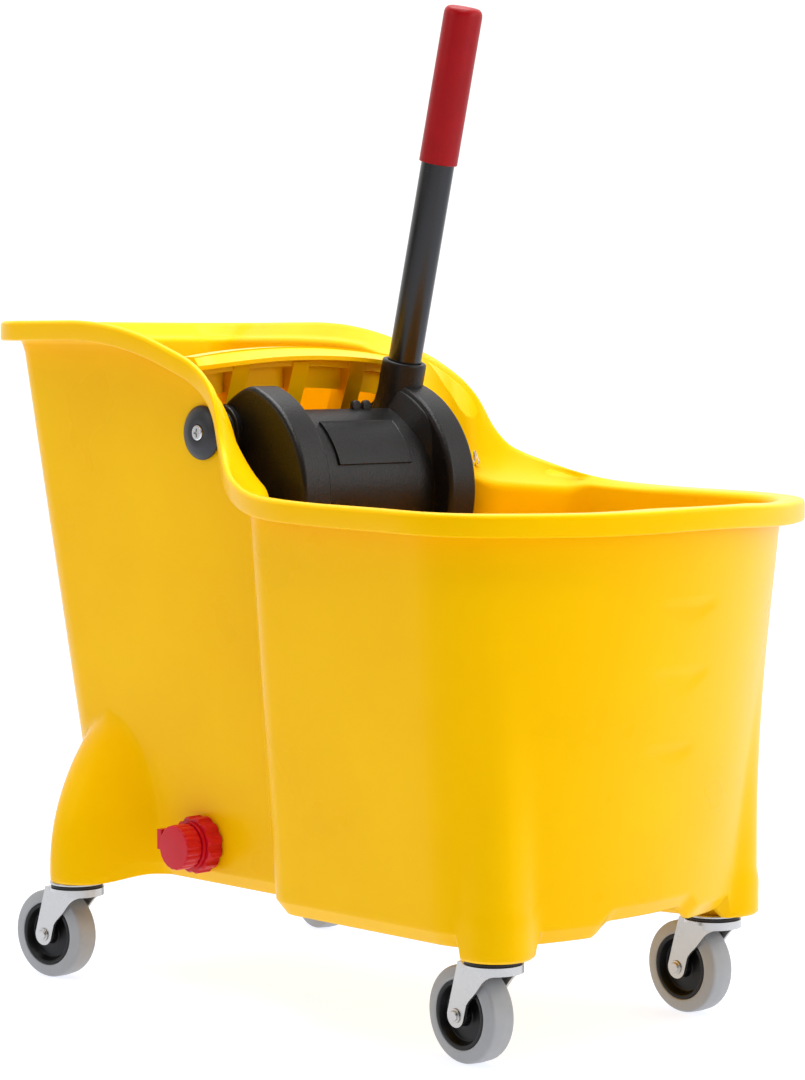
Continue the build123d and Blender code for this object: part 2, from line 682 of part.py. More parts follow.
# Pivot caps and screws: each cap's shank is the bearing that the press turns on
for name, side in (("near", -1), ("far", 1)):
    head_y = CAP_SEAT_Y + CAP_DOME - SCREW_RECESS
    with BuildPart() as pivot_cap:
        shank_y = SHANK_SEAT_Y + 4 * FIT
        pivot_disc(PIVOT_R - PIVOT_PLAY, shank_y, CAP_SEAT_Y - shank_y + CAP_RIM, side)
        pivot_disc(CAP_R, CAP_SEAT_Y, CAP_RIM, side)
        axis_plane = Plane((PIVOT_X, 0, PIVOT_Z), (1, 0, 0), (0, side, 0))
        with BuildSketch(axis_plane.offset(CAP_SEAT_Y + CAP_RIM)):
            Circle(CAP_R)
        with BuildSketch(axis_plane.offset(CAP_SEAT_Y + CAP_DOME)):
            Circle(CAP_TOP_R)
        loft(ruled=True)
        pivot_disc(SCREW_HEAD_R + FIT, head_y, REACH, side, Mode.SUBTRACT)
        pivot_disc(SCREW_R + FIT, CHEEK_OUT, REACH, side, Mode.SUBTRACT)
    save(pivot_cap, "pivot_cap_" + name)
    with BuildPart() as pivot_screw:
        pivot_disc(SCREW_R, SCREW_FOOT_Y, head_y + FIT - SCREW_FOOT_Y, side)
        pivot_disc(SCREW_HEAD_R, head_y + FIT, SCREW_HEAD_H, side)
        outer_face = pivot_screw.faces().sort_by(Axis.Y)[-1 if side > 0 else 0]
        fillet(outer_face.edges(), SCREW_HEAD_ROUND)
        with BuildSketch(axis_plane.offset(head_y + FIT + SCREW_HEAD_H - SCREW_SLOT_DEEP)):
            Rectangle(*SCREW_SLOT)
            Rectangle(*reversed(SCREW_SLOT))
        extrude(amount=SCREW_HEAD_H, mode=Mode.SUBTRACT)
    save(pivot_screw, "pivot_screw_" + name)

# Stop clip: a small bent strip on the far inner wall
with BuildPart() as stop_clip:
    with Locations(Location(CLIP_POINT, (0, 0, CLIP_TURN))):
        for x_from, x_to, depth in (CLIP_PLATE, CLIP_FIN):
            with Locations(((x_from + x_to) / 2, -depth / 2, 0)):
                Box(x_to - x_from, depth, CLIP_H)
save(stop_clip, "stop_clip")

# Drain: flanged spout from inside, gasket, scalloped nut outside, tether, screw cap and its seal
drain_plane = Plane(origin=(DRAIN_X, 0, DRAIN_Z), x_dir=(1, 0, 0), z_dir=(0, -1, 0))


def ring(outer, inner, start, length, mode=Mode.ADD):
    """Ring, or disc where inner is zero, on the drain axis."""
    with BuildSketch(drain_plane.offset(start)) as annulus:
        Circle(outer)
        if inner:
            Circle(inner, mode=Mode.SUBTRACT)
    extrude(annulus.sketch, amount=length, mode=mode)


with BuildPart() as drain_spout:
    ring(SPOUT_FLANGE_R, SPOUT_BORE_R, SPOUT_FLANGE_Y, SPOUT_FLANGE_T)
    ring(SPOUT_R, SPOUT_BORE_R, SPOUT_FLANGE_Y, SPOUT_END_Y - SPOUT_FLANGE_Y)
save(drain_spout, "drain_spout")

with BuildPart() as drain_gasket:
    ring(GASKET_R, SPOUT_R + FIT, SPOUT_FLANGE_Y + SPOUT_FLANGE_T, GASKET_T)
save(drain_gasket, "drain_gasket")

with BuildPart() as drain_nut:
    ring(NUT_R, SPOUT_R + FIT, NUT_Y, NUT_L)
    chamfer(drain_nut.edges().filter_by(GeomType.CIRCLE).group_by(SortBy.RADIUS)[-1], NUT_BEVEL)
    with BuildSketch(drain_plane.offset(NUT_Y)):
        with PolarLocations(SCALLOP_PITCH_R, SCALLOPS):
            Circle(SCALLOP_R)
    extrude(amount=NUT_L, mode=Mode.SUBTRACT)
save(drain_nut, "drain_nut")

with BuildPart() as drain_strap:
    ring(STRAP_R, STRAP_BORE_R, STRAP_Y, STRAP_T)
    for tab_x, size, length in ((TAB_X, TAB_ROOT, STRAP_T), (TAB_END_X, TAB_END, TAB_LEN)):
        with BuildSketch(drain_plane.offset(STRAP_Y)):
            with Locations((tab_x, TAB_UP)):
                Rectangle(*size)
        extrude(amount=length)
save(drain_strap, "drain_strap")

with BuildPart() as drain_cap:
    ring(DRAIN_CAP_R, 0, DRAIN_CAP_Y, DRAIN_CAP_L)
    fillet(drain_cap.faces().sort_by(Axis.Y)[0].edges(), DRAIN_CAP_ROUND)
    ring(SPOUT_R + DRAIN_CAP_PLAY, 0, DRAIN_CAP_Y, DRAIN_CAP_L - DRAIN_CAP_T, Mode.SUBTRACT)
save(drain_cap, "drain_cap")

with BuildPart() as drain_cap_seal:
    ring(SPOUT_R, 0, DRAIN_CAP_Y + DRAIN_CAP_L - DRAIN_CAP_T - CAP_SEAL_GAP - CAP_SEAL_T, CAP_SEAL_T)
save(drain_cap_seal, "drain_cap_seal")

# Caster pieces drawn once with the swivel axis at the origin and the wheel trailing behind
AXLE_Z = WHEEL_R
CROWN_TOP_Z = CROWN_Z + CROWN_T
wheel_plane = Plane(origin=(-TRAIL, 0, AXLE_Z), x_dir=(1, 0, 0), z_dir=(0, -1, 0))

with BuildPart() as stem_piece:
    rivet_z = CROWN_Z - STEM_RIVET_GAP - STEM_RIVET_H
    with Locations((0, 0, rivet_z)):
        Cylinder(STEM_RIVET_R, STEM_RIVET_H, align=standing)
        Cylinder(STEM_R, STEM_TOP_Z - rivet_z, align=standing)
    chamfer(stem_piece.faces().sort_by(Axis.Z)[-1].edges(), STEM_GROOVE_W * 0.75)
    with Locations((0, 0, STEM_GROOVE_Z)):
        Cylinder(STEM_RIVET_R, STEM_GROOVE_W, align=standing, mode=Mode.SUBTRACT)
        Cylinder(STEM_R - STEM_GROOVE_DEEP, STEM_GROOVE_W, align=standing)

with BuildPart() as race_piece:
    with Locations((0, 0, RACE_Z)):
        Cylinder(CROWN_R, FOOT_Z - RACE_Z, align=standing)
        Cylinder(STEM_R + FIT, FOOT_Z - RACE_Z, align=standing, mode=Mode.SUBTRACT)
    chamfer(race_piece.edges().filter_by(GeomType.CIRCLE).group_by(SortBy.RADIUS)[-1], CROWN_T / 4)

with BuildPart() as seal_piece:
    with Locations((0, 0, CROWN_TOP_Z + FIT)):
        Cylinder(SEAL_OUTER_R, RACE_Z - CROWN_TOP_Z - FIT - SEAL_PLAY, align=standing)
        Cylinder(SEAL_INNER_R, RACE_Z - CROWN_TOP_Z, align=standing, mode=Mode.SUBTRACT)

with BuildPart() as balls_piece:
    with Locations((0, 0, CROWN_TOP_Z + BALL_R + BALL_PLAY)):
        with PolarLocations(BALL_PITCH_R, BALL_COUNT):
            Sphere(BALL_R)

with BuildPart() as fork_piece:
    leg_front_x = LEG_NECK[-1][0]
    with Locations((0, 0, CROWN_Z)):
        Cylinder(CROWN_R, CROWN_T, align=standing)
    with BuildSketch(Plane.XY.offset(CROWN_Z)):
        with Locations(((LEG_BACK_X + leg_front_x) / 2, 0)):
            Rectangle(leg_front_x - LEG_BACK_X, 2 * (LEG_IN + LEG_T))
    extrude(amount=CROWN_T)
    # crown edge turned down ahead of the wheel
    with BuildSketch(Plane.XY.offset(CROWN_Z - CROWN_SKIRT_H)):
        Circle(CROWN_R)
        Circle(CROWN_R - CROWN_SKIRT_T, mode=Mode.SUBTRACT)
        with Locations((CROWN_SKIRT_X, 0)):
            Rectangle(REACH, REACH, align=(Align.MAX, Align.CENTER), mode=Mode.SUBTRACT)
    extrude(amount=CROWN_SKIRT_H + CROWN_T / 2)
    # flat legs with a round eye at the axle and a hollow front edge
    for side in (-1, 1):
        with BuildSketch(Plane.XZ.offset(-side * LEG_IN)):
            with BuildLine():
                eye_back = (-TRAIL - LEG_EYE[0], AXLE_Z + LEG_EYE[1])
                eye_low = (-TRAIL, AXLE_Z - math.hypot(*LEG_EYE))
                eye_front = (-TRAIL + LEG_EYE[0], AXLE_Z - LEG_EYE[1])
                Line((LEG_BACK_X, CROWN_TOP_Z), eye_back)
                ThreePointArc(eye_back, eye_low, eye_front)
                Line(eye_front, LEG_NECK[0])
                Spline(*LEG_NECK, tangents=((0.5, 0.9), (0.95, 0.3)))
                Polyline(LEG_NECK[-1], (leg_front_x, CROWN_TOP_Z), (LEG_BACK_X, CROWN_TOP_Z))
            make_face()
        extrude(amount=-side * LEG_T)
    with BuildSketch(wheel_plane):
        Circle(AXLE_R + FIT)
    extrude(amount=REACH, both=True, mode=Mode.SUBTRACT)
    Cylinder(STEM_R + FIT, REACH, mode=Mode.SUBTRACT)

with BuildPart() as axle_piece:
    head_start = LEG_IN + LEG_T + FIT
    with BuildSketch(wheel_plane):
        Circle(AXLE_R)
    extrude(amount=head_start, both=True)
    for radius, length in AXLE_HEADS:
        with BuildSketch(wheel_plane.offset(head_start)) as outer_head:
            Circle(radius)
        with BuildSketch(wheel_plane.offset(-head_start)) as inner_head:
            Circle(radius)
        extrude(outer_head.sketch, amount=length)
        extrude(inner_head.sketch, amount=-length)
        head_start += length
    fillet(axle_piece.edges().filter_by(GeomType.CIRCLE).sort_by(Axis.Y)[0], AXLE_R / 5)
    fillet(axle_piece.edges().filter_by(GeomType.CIRCLE).sort_by(Axis.Y)[-1], AXLE_R / 5)

with BuildPart() as hub_piece:
    hub_side = [(HUB_BORE_R, WHEEL_HALF), *HUB_SIDE, (HUB_FACE_R, WHEEL_HALF)]
    with BuildSketch(Plane.XZ):
        with BuildLine():
            Polyline(*hub_side, *[(r, -half) for r, half in reversed(hub_side)], close=True)
        make_face()
    revolve(axis=Axis.Z)

with BuildPart() as tread_piece:
    tread_side = [(HUB_FACE_R + TREAD_SEAT, WHEEL_HALF), *TREAD_SIDE]
    with BuildSketch(Plane.XZ):
        with BuildLine():
            upper = Polyline(*tread_side)
            lower = Polyline(*[(r, -half) for r, half in tread_side])
            ThreePointArc(upper @ 1, (WHEEL_R, 0), lower @ 1)
            Line(upper @ 0, lower @ 0)
        make_face()
    revolve(axis=Axis.Z)

# The same eight pieces placed at each corner, turned to the yaw the caster stands at
on_stem = Location()
on_axle = Location((-TRAIL, 0, AXLE_Z), (90, 0, 0))
PIECES = {
    "stem": (stem_piece, on_stem),
    "race": (race_piece, on_stem),
    "balls": (balls_piece, on_stem),
    "seal": (seal_piece, on_stem),
    "fork": (fork_piece, on_stem),
    "axle": (axle_piece, on_stem),
    "hub": (hub_piece, on_axle),
    "tread": (tread_piece, on_axle),
}
for corner, (x, y, yaw) in CASTERS.items():
    for kind, (piece, place) in PIECES.items():
        with BuildPart() as placed:
            with Locations(Location((x, y, 0), (0, 0, yaw)) * place):
                add(piece.part)
        save(placed, "caster_" + corner + "_" + kind)
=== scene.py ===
import bmesh
import bpy
import json
import math
from mathutils import Matrix, Vector


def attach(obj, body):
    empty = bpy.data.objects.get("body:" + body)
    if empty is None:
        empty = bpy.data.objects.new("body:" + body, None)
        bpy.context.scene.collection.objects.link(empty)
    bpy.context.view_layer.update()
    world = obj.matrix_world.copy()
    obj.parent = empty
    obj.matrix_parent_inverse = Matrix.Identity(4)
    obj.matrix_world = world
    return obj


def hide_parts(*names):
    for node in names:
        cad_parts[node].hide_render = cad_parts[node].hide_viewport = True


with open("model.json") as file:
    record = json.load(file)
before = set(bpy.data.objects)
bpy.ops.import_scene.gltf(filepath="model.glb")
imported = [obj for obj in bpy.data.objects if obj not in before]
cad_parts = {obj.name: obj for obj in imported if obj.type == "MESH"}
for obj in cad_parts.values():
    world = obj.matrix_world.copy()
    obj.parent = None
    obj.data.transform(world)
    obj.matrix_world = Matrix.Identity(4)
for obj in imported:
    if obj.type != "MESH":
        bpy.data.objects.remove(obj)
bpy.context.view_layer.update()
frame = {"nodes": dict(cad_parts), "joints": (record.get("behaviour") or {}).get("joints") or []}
MM = 0.001

# Bucket body
# One thick-walled moulding in yellow polyethylene, high and narrow behind, low and wide in front.
# The rim is turned over outside the wall, and all four feet swell out of the wall without a seam.
BASE_Z, REF_Z = 78.0, 466.0
BACK_X = (-222.0, -289.0)
SIDE_Y = (95.5, 103.6)
WIDE_Y = (138.0, 171.0)
NOSE_X = (250.5, 307.5)
CORNER_X = (187.0, 195.5)
CORNER_R = (45.5, 73.6)
BACK_R = (40.0, 22.0)
STEP_IN_R, STEP_OUT_R = 34.0, 26.0
STEP_X, STEP_SLANT = 53.5, math.radians(38.0)
WALL = 3.5
FLOOR_TOP, FLOOR_UNDER, FLOOR_ROUND = 86.0, 82.0, 9.0
FLOOR_INSET, FLOOR_FLAT = 18.0, 2.0
ARCH_INSET, ARCH_FLAT, ARCH_LIFT = 27.0, 14.0, 11.0
FRONT_X = 200.0
RIM_BACK_X, RIM_NOSE_X = -305.5, 305.5
RIM_SIDE_Y, RIM_WIDE_Y = 121.5, 176.0
RIM_BACK_R, RIM_CORNER_R, RIM_CORNER_X = 45.0, 80.5, 193.0
RIM_H, RIM_T, RIM_ROUND = 14.4, 3.5, 3.4
# inset and drop from the rim's outer edge: down its face, round its lip and up behind it
RIM_RETURN = (
    (0, RIM_H - 1.4), (0.4, RIM_H - 0.4), (1.4, RIM_H), (RIM_T - 0.7, RIM_H), (RIM_T, RIM_H - 0.7),
    (RIM_T, RIM_T + 3), (RIM_T + 0.9, RIM_T + 0.9), (RIM_T + 3, RIM_T),
)
# the same from the wall face, where the wall leaves the underside of the flange
WALL_RETURN = ((-3.0, RIM_T - 0.6), (-0.9, RIM_T + 0.6), (0.0, RIM_T + 3))
INNER_ROUND, STEP_SWELL = 5.0, (6.5, 7.0)
EDGE_PLAN_Z = 400.0
SWEEP_FROM, SWEEP_TO, SWEEP_R = -67.5, 92.0, 103.5
OUTER_EDGE = (
    (-200, 471), (-170, 469.6), (-150, 467.1), (-130, 463.4), (-110, 458.3), (-90, 451.7), (-70, 444.6),
    (-60, 439.8), (-50, 434), (-40, 426.4), (-30, 414.5), (-20, 395.5), (-10, 382.4), (0, 375.6),
    (10, 371), (20, 367), (30, 363.5), (40, 360.7), (50, 358.5), (60, 356.9), (75, 355.6), (92, 354.7),
    (127, 353.6), (187, 352.6), (225, 351.6), (253, 351.2), (286, 351.0), (298, 351.6), (305.5, 352.8),
)
INNER_EDGE = (
    (-215, 460), (-154, 458.3), (-123, 454.9), (-108, 451.4), (-94, 446.8), (-80, 439.5), (-66, 428.5),
    (-56, 419.2), (-51.5, 413.4), (-45.5, 402.3), (-41.5, 391), (-38, 380.5), (-33.5, 373), (-25.5, 367.1),
    (-15, 363.3), (-2, 360.8), (11, 359.1), (24, 357.9), (42, 356.4), (60, 355.1), (80, 354.2),
    (108, 353.3), (168, 352.4), (211, 351.4), (241, 351.0), (273, 350.9), (283, 351.4), (291, 352.4),
)
REAR_FOOT_X, REAR_FOOT_OUT, REAR_FOOT_FALL, REAR_FOOT_BULGE = -183.0, 148.0, 45.7, 2.2
# shares of the foot's height: where its fillet fades, where its dome closes and where it ends
REAR_FOOT_FADE, REAR_FOOT_DOME, REAR_FOOT_END = 0.9, 1.03, 1.2
# length, bluntness of the outline and the two powers that round the section, ahead and behind
REAR_FOOT_AHEAD, REAR_FOOT_BEHIND = (62.0, 2.4, 2.3, 2.0), (38.0, 5.0, 2.4, 1.5)
FRONT_FOOT, FRONT_BOSS, FRONT_BOSS_R = (183.0, 85.0), (33.9, 25.4), 24.0
BOSS_STEP, BOSS_STEP_Z, BOSS_STEP_RUN = 1.4, 94.0, 9.0
BOSS_HALF_TURN = math.radians(80.0)
FOOT_Z, FOOT_READ_Z, FOOT_APEX_Z, FOOT_FILLET = 71.5, 73.5, 183.0, 7.0
FEET_TOP = 206.0
BEVEL_IN, BEVEL_UP = 7.0, 10.0
FOOT_EASE = 1.8
LOWER_EDGE = (0.05, 0.15, 0.85, 0.96)
REAR_FOOT_RISE, FRONT_FOOT_RISE = (9.0, 36.0), (0.3, 1.6)
ARCH_Z, ARCH_HALF, ARCH_SLOPE = 87.5, 34.0, 15.0
MARKS = ((289.5, 52.0, 13.0), (244.5, 50.0, 15.0), (195.5, 43.0, 10.0))
MARK_DEEP, MARK_TAPER, MARK_LIP, MARK_EDGE = 1.5, 0.85, 0.3, 6.0
HOLLOW_DEEP, HOLLOW_Z, HOLLOW_SPREAD = 4.6, 172.0, 62.0
INNER_ROWS, WALL_ROWS, FOOT_ROWS = 16, 45, 32
# runs of the wall from the middle of the back to the middle of the front, with the columns in each; the
# columns of the side crowd towards the step
PARTS = (
    ("back", 8), ("back_corner", 30), ("side", 110), ("step_in", 26), ("step", 20),
    ("step_out", 14), ("front_side", 14), ("front_corner", 34), ("nose", 28),
)
SIDE_CROWDING = 0.85


def mix(a, b, share):
    return a + (b - a) * share


def ease(value):
    """Smooth step from 0 to 1."""
    value = min(max(value, 0.0), 1.0)
    return value * value * (3 - 2 * value)


def at_height(pair, z):
    """A size of the wall at z, from the pair that gives it at the base and at the rear rim."""
    return mix(pair[0], pair[1], (z - BASE_Z) / (REF_Z - BASE_Z))


def on_arc(centre, radius, degrees):
    turn = math.radians(degrees)
    return centre[0] + radius * math.cos(turn), centre[1] + radius * math.sin(turn)


def nose_arc(nose, corner_x, corner_y, corner_r):
    """Centre, radius and end angle of the bowed front that runs tangent into the corner arc."""
    depth = nose - corner_x
    bow = (depth ** 2 + corner_y ** 2 - corner_r ** 2) / (2 * (depth - corner_r))
    return nose - bow, bow, math.degrees(math.atan2(corner_y, corner_x - nose + bow))


def wall_point(place, z, inset):
    """Plan point of the wall face at a place round the bucket, moved inside by inset."""
    part, share = place
    back = at_height(BACK_X, z) + inset
    side = at_height(SIDE_Y, z) - inset
    wide = at_height(WIDE_Y, z) - inset
    corner_r = at_height(CORNER_R, z) - inset
    corner_x, corner_y = at_height(CORNER_X, z), wide - corner_r
    r_back, r_in, r_out = at_height(BACK_R, z) - inset, STEP_IN_R + inset, STEP_OUT_R - inset
    ahead, out = math.sin(STEP_SLANT), math.cos(STEP_SLANT)
    rise = wide - side - (r_in + r_out) * (1 - ahead)
    fold = (STEP_X - r_out * out, wide - r_out * (1 - ahead))
    crease = (fold[0] - rise * ahead / out, fold[1] - rise)
    bend_x = crease[0] - r_in * out
    slant = math.degrees(STEP_SLANT)
    bow_x, bow, join = nose_arc(at_height(NOSE_X, z) - inset, corner_x, corner_y, corner_r)
    if part == "back":
        return back, share * (side - r_back)
    if part == "back_corner":
        return on_arc((back + r_back, side - r_back), r_back, 180 - 90 * share)
    if part == "side":
        return mix(back + r_back, bend_x, share), side
    if part == "step_in":
        return on_arc((bend_x, side + r_in), r_in, mix(-90, -slant, share))
    if part == "step":
        return mix(crease[0], fold[0], share), mix(crease[1], fold[1], share)
    if part == "step_out":
        return on_arc((STEP_X, wide - r_out), r_out, mix(180 - slant, 90, share))
    if part == "front_side":
        return mix(STEP_X, corner_x, share), wide
    if part == "front_corner":
        return on_arc((corner_x, corner_y), corner_r, mix(90, join, share))
    return on_arc((bow_x, 0.0), bow, join * (1 - share))


def rim_point(place, inset):
    """Plan point of the rim's outer edge that goes with the same place on the wall."""
    part, share = place
    back, side, wide = RIM_BACK_X + inset, RIM_SIDE_Y - inset, RIM_WIDE_Y - inset
    r_back, corner_r = RIM_BACK_R - inset, RIM_CORNER_R - inset
    corner_y = wide - corner_r
    bow_x, bow, join = nose_arc(RIM_NOSE_X - inset, RIM_CORNER_X, corner_y, corner_r)
    if part == "back":
        return back, share * (side - r_back)
    if part == "back_corner":
        return on_arc((back + r_back, side - r_back), r_back, 180 - 90 * share)
    if part == "front_corner":
        return on_arc((RIM_CORNER_X, corner_y), corner_r, mix(90, join, share))
    if part == "nose":
        return on_arc((bow_x, 0.0), bow, join * (1 - share))
    spans = {
        "side": (RIM_BACK_X + RIM_BACK_R, -36.0),
        "step_in": (-36.0, -7.0),
        "step": (-7.0, 26.0),
        "step_out": (26.0, 52.0),
        "front_side": (52.0, RIM_CORNER_X),
    }
    x = mix(*spans[part], share)
    run, rise = SWEEP_TO - SWEEP_FROM, RIM_WIDE_Y - RIM_SIDE_Y
    both_r = (run ** 2 + rise ** 2) / (2 * rise)
    far_r = both_r - SWEEP_R
    if x < SWEEP_FROM + SWEEP_R * run / both_r:
        turn = math.asin(max(x - SWEEP_FROM, 0) / SWEEP_R)
        y = RIM_SIDE_Y + SWEEP_R * (1 - math.cos(turn))
    else:
        turn = math.asin(max(SWEEP_TO - x, 0) / far_r)
        y = RIM_WIDE_Y - far_r * (1 - math.cos(turn))
    return x + inset * math.sin(turn), y - inset * math.cos(turn)


def height(line, x):
    """Smooth height at x along a line of (x, z) points, level beyond its ends."""
    if x <= line[0][0] or x >= line[-1][0]:
        return line[0][1] if x <= line[0][0] else line[-1][1]
    at = max(i for i in range(len(line) - 1) if line[i][0] <= x)
    slopes = []
    for i in (at, at + 1):
        before, after = line[max(i - 1, 0)], line[min(i + 1, len(line) - 1)]
        inside = 0 < i < len(line) - 1
        slopes.append((after[1] - before[1]) / (after[0] - before[0]) if inside else 0.0)
    (x0, z0), (x1, z1) = line[at], line[at + 1]
    t = (x - x0) / (x1 - x0)
    bend = t * (1 - t) * (x1 - x0) * ((1 - t) * slopes[0] - t * slopes[1])
    return mix(z0, z1, t * t * (3 - 2 * t)) + bend


def smooth_max(a, b, blend):
    """The larger of two distances, with a fillet where they meet."""
    near = max(blend - abs(a - b), 0.0) / blend
    return max(a, b) + near * near * blend / 4


def rear_foot_push(x, z):
    """How far a rear foot stands out of the side wall: a broad rounded nose that closes to a dome."""
    up = min(max((z - FOOT_Z) / (FOOT_APEX_Z - FOOT_Z), 0.0), REAR_FOOT_END)
    out = REAR_FOOT_OUT - REAR_FOOT_FALL * up ** REAR_FOOT_BULGE - at_height(SIDE_Y, z)
    out = smooth_max(out, 0.0, FOOT_FILLET) - FOOT_FILLET * max(up - REAR_FOOT_FADE, 0.0)
    length, blunt, near, far = REAR_FOOT_AHEAD if x > REAR_FOOT_X else REAR_FOOT_BEHIND
    spread = length * max(1 - min(up / REAR_FOOT_DOME, 1.0) ** blunt, 0.0) ** 0.5
    if out <= 0 or abs(x - REAR_FOOT_X) >= spread:
        return 0.0
    return out * (1 - (abs(x - REAR_FOOT_X) / spread) ** near) ** far


def front_foot_reach(bearing, z):
    """Distance from the front corner's centre to the upright boss under it, stepped in above its foot."""
    radius = FRONT_BOSS_R - BOSS_STEP * ease((z - BOSS_STEP_Z) / BOSS_STEP_RUN)
    away, swing = math.hypot(*FRONT_BOSS), bearing - math.atan2(FRONT_BOSS[1], FRONT_BOSS[0])
    if abs(away * math.sin(swing)) >= radius or abs(swing) > BOSS_HALF_TURN:
        return 0.0
    return away * math.cos(swing) + math.sqrt(radius ** 2 - (away * math.sin(swing)) ** 2)


def front_hollow(point, z):
    """How far the front wall, inside and out, is drawn in at the middle of its face."""
    if point[0] < FRONT_X:
        return 0.0
    away = ((z - HOLLOW_Z) / HOLLOW_SPREAD) ** 2 + (point[1] / HOLLOW_SPREAD) ** 2
    return HOLLOW_DEEP * math.exp(-away)


def inner_point(place, z, inset):
    """Plan point of the inside of the wall."""
    point = wall_point(place, z, inset)
    return point[0] - front_hollow(point, z), point[1]


def with_feet(point, z, inset):
    """The wall point pushed out over a foot, and how much of a foot it is there."""
    x, y = point
    if x < 0:
        push = rear_foot_push(x, z)
        return (x, y + push), push
    dx, dy = x - FRONT_FOOT[0], y - FRONT_FOOT[1]
    own = math.hypot(dx, dy)
    reach = front_foot_reach(math.atan2(dy, dx), z) - inset
    far = smooth_max(own, reach, FOOT_FILLET) - front_hollow(point, z)
    share = far / own if own > 1 else 1.0
    return (FRONT_FOOT[0] + dx * share, FRONT_FOOT[1] + dy * share), far - own


def mark_depth(y, z):
    """How deep a fill mark is pressed into the front: most under its upper edge, nothing at its tip."""
    deepest = 0.0
    for top, width, tall in MARKS:
        down = (top - z) / tall
        half = width / 2 * (1 - MARK_TAPER * down)
        under = ease(down / MARK_LIP + 1) * max(1 - down, 0.0)
        deepest = max(deepest, MARK_DEEP * under * ease((half - abs(y)) / MARK_EDGE))
    return deepest


def front_marked(place, z):
    """The outer wall with its feet and fill marks."""
    x, y = with_feet(wall_point(place, z, 0), z, 0)[0]
    return (x - mark_depth(y, z), y) if x > FRONT_X else (x, y)


def body_section(place):
    """Section of the body at one place round the plan, from the floor inside to the floor below."""
    rows = []
    base = wall_point(place, BASE_Z, 0)
    arch = 1 - ease((base[1] - ARCH_HALF) / ARCH_SLOPE) if base[0] > FRONT_X else 0.0
    start, rise = REAR_FOOT_RISE if base[0] < 0 else FRONT_FOOT_RISE
    foot = ease((with_feet(base, FOOT_READ_Z, 0)[1] - start) / rise)
    bottom = BASE_Z - (BASE_Z - FOOT_Z) * foot + (ARCH_Z - BASE_Z) * arch
    floor, floor_edge = FLOOR_TOP + ARCH_LIFT * arch, FLOOR_INSET + ARCH_INSET * arch
    quarter = [math.radians(15 * i) for i in range(7)]
    # floor, inner wall and the round into the rim
    rows.append((wall_point(place, FLOOR_TOP, floor_edge), FLOOR_TOP))
    rows.append((wall_point(place, floor, WALL + FLOOR_ROUND + FLOOR_FLAT + ARCH_FLAT * arch), floor))
    for turn in quarter[::2]:
        z = floor + FLOOR_ROUND * (1 - math.cos(turn))
        rows.append((inner_point(place, z, WALL + FLOOR_ROUND * (1 - math.sin(turn))), z))
    crest = height(INNER_EDGE, wall_point(place, EDGE_PLAN_Z, WALL)[0])
    soft = ease({"step_in": place[1], "step": 1.0, "step_out": 1 - place[1]}.get(place[0], 0.0))
    round_out, round_up = INNER_ROUND + STEP_SWELL[0] * soft, INNER_ROUND + STEP_SWELL[1] * soft
    for i in range(1, INNER_ROWS + 1):
        z = mix(floor + FLOOR_ROUND, crest - round_up, i / INNER_ROWS)
        rows.append((inner_point(place, z, WALL), z))
    for turn in quarter[1:]:
        z = crest - round_up * (1 - math.sin(turn))
        rows.append((wall_point(place, z, WALL - round_out * (1 - math.cos(turn))), z))
    # rim: flange that slopes up outwards at the back, rounded edge, face and return underneath
    inner, outer = rows[-1][0], rim_point(place, RIM_ROUND)
    edge = height(OUTER_EDGE, outer[0])
    for share in (0.2, 0.4, 0.6, 0.8):
        point = (mix(inner[0], outer[0], share), mix(inner[1], outer[1], share))
        rows.append((point, mix(crest, edge, share)))
    for turn in quarter:
        point = rim_point(place, RIM_ROUND * (1 - math.sin(turn)))
        rows.append((point, height(OUTER_EDGE, point[0]) - RIM_ROUND * (1 - math.cos(turn))))
    for inset, drop in RIM_RETURN:
        point = rim_point(place, inset)
        rows.append((point, height(OUTER_EDGE, point[0]) - drop))
    for inset, drop in WALL_RETURN:
        rows.append((wall_point(place, crest, inset), crest - drop))
    # outer wall down to the feet, the feet themselves and the eased lower edge
    high = rows[-1][1]
    for i in range(1, WALL_ROWS + 1):
        z = mix(high, FEET_TOP, i / WALL_ROWS)
        rows.append((front_marked(place, z), z))
    inward, upward = mix(BEVEL_IN, FOOT_EASE, foot), mix(BEVEL_UP, FOOT_EASE, foot)
    for i in range(1, FOOT_ROWS + 1):
        z = mix(FEET_TOP, bottom + upward, i / FOOT_ROWS)
        rows.append((front_marked(place, z), z))
    for share in LOWER_EDGE:
        z = bottom + upward * (1 - share)
        rows.append((with_feet(wall_point(place, z, inward * share), z, inward * share)[0], z))
    rows.append((with_feet(wall_point(place, bottom, inward + WALL), bottom, inward + WALL)[0], bottom))
    rows.append((wall_point(place, BASE_Z, BEVEL_IN + WALL), mix(FLOOR_UNDER, bottom, arch)))
    rows.append((wall_point(place, BASE_Z, floor_edge), FLOOR_UNDER))
    return [(x * MM, y * MM, z * MM) for (x, y), z in rows]


def linear(hex_colour):
    """Linear RGBA of an sRGB hex colour."""
    parts = [int(hex_colour[i:i + 2], 16) / 255 for i in (1, 3, 5)]
    return [c / 12.92 if c <= 0.04045 else ((c + 0.055) / 1.055) ** 2.4 for c in parts] + [1.0]


def add(tree, kind, attributes, inputs):
    """One node with its attributes set and each input given a value or linked from a socket."""
    new = tree.nodes.new(kind)
    for name, value in attributes.items():
        setattr(new, name, value)
    for name, value in inputs.items():
        if isinstance(value, bpy.types.NodeSocket):
            tree.links.new(value, new.inputs[name])
        else:
            new.inputs[name].default_value = value
    return new


CLOUD_LOW, CLOUD_HIGH = 0.3, 0.7


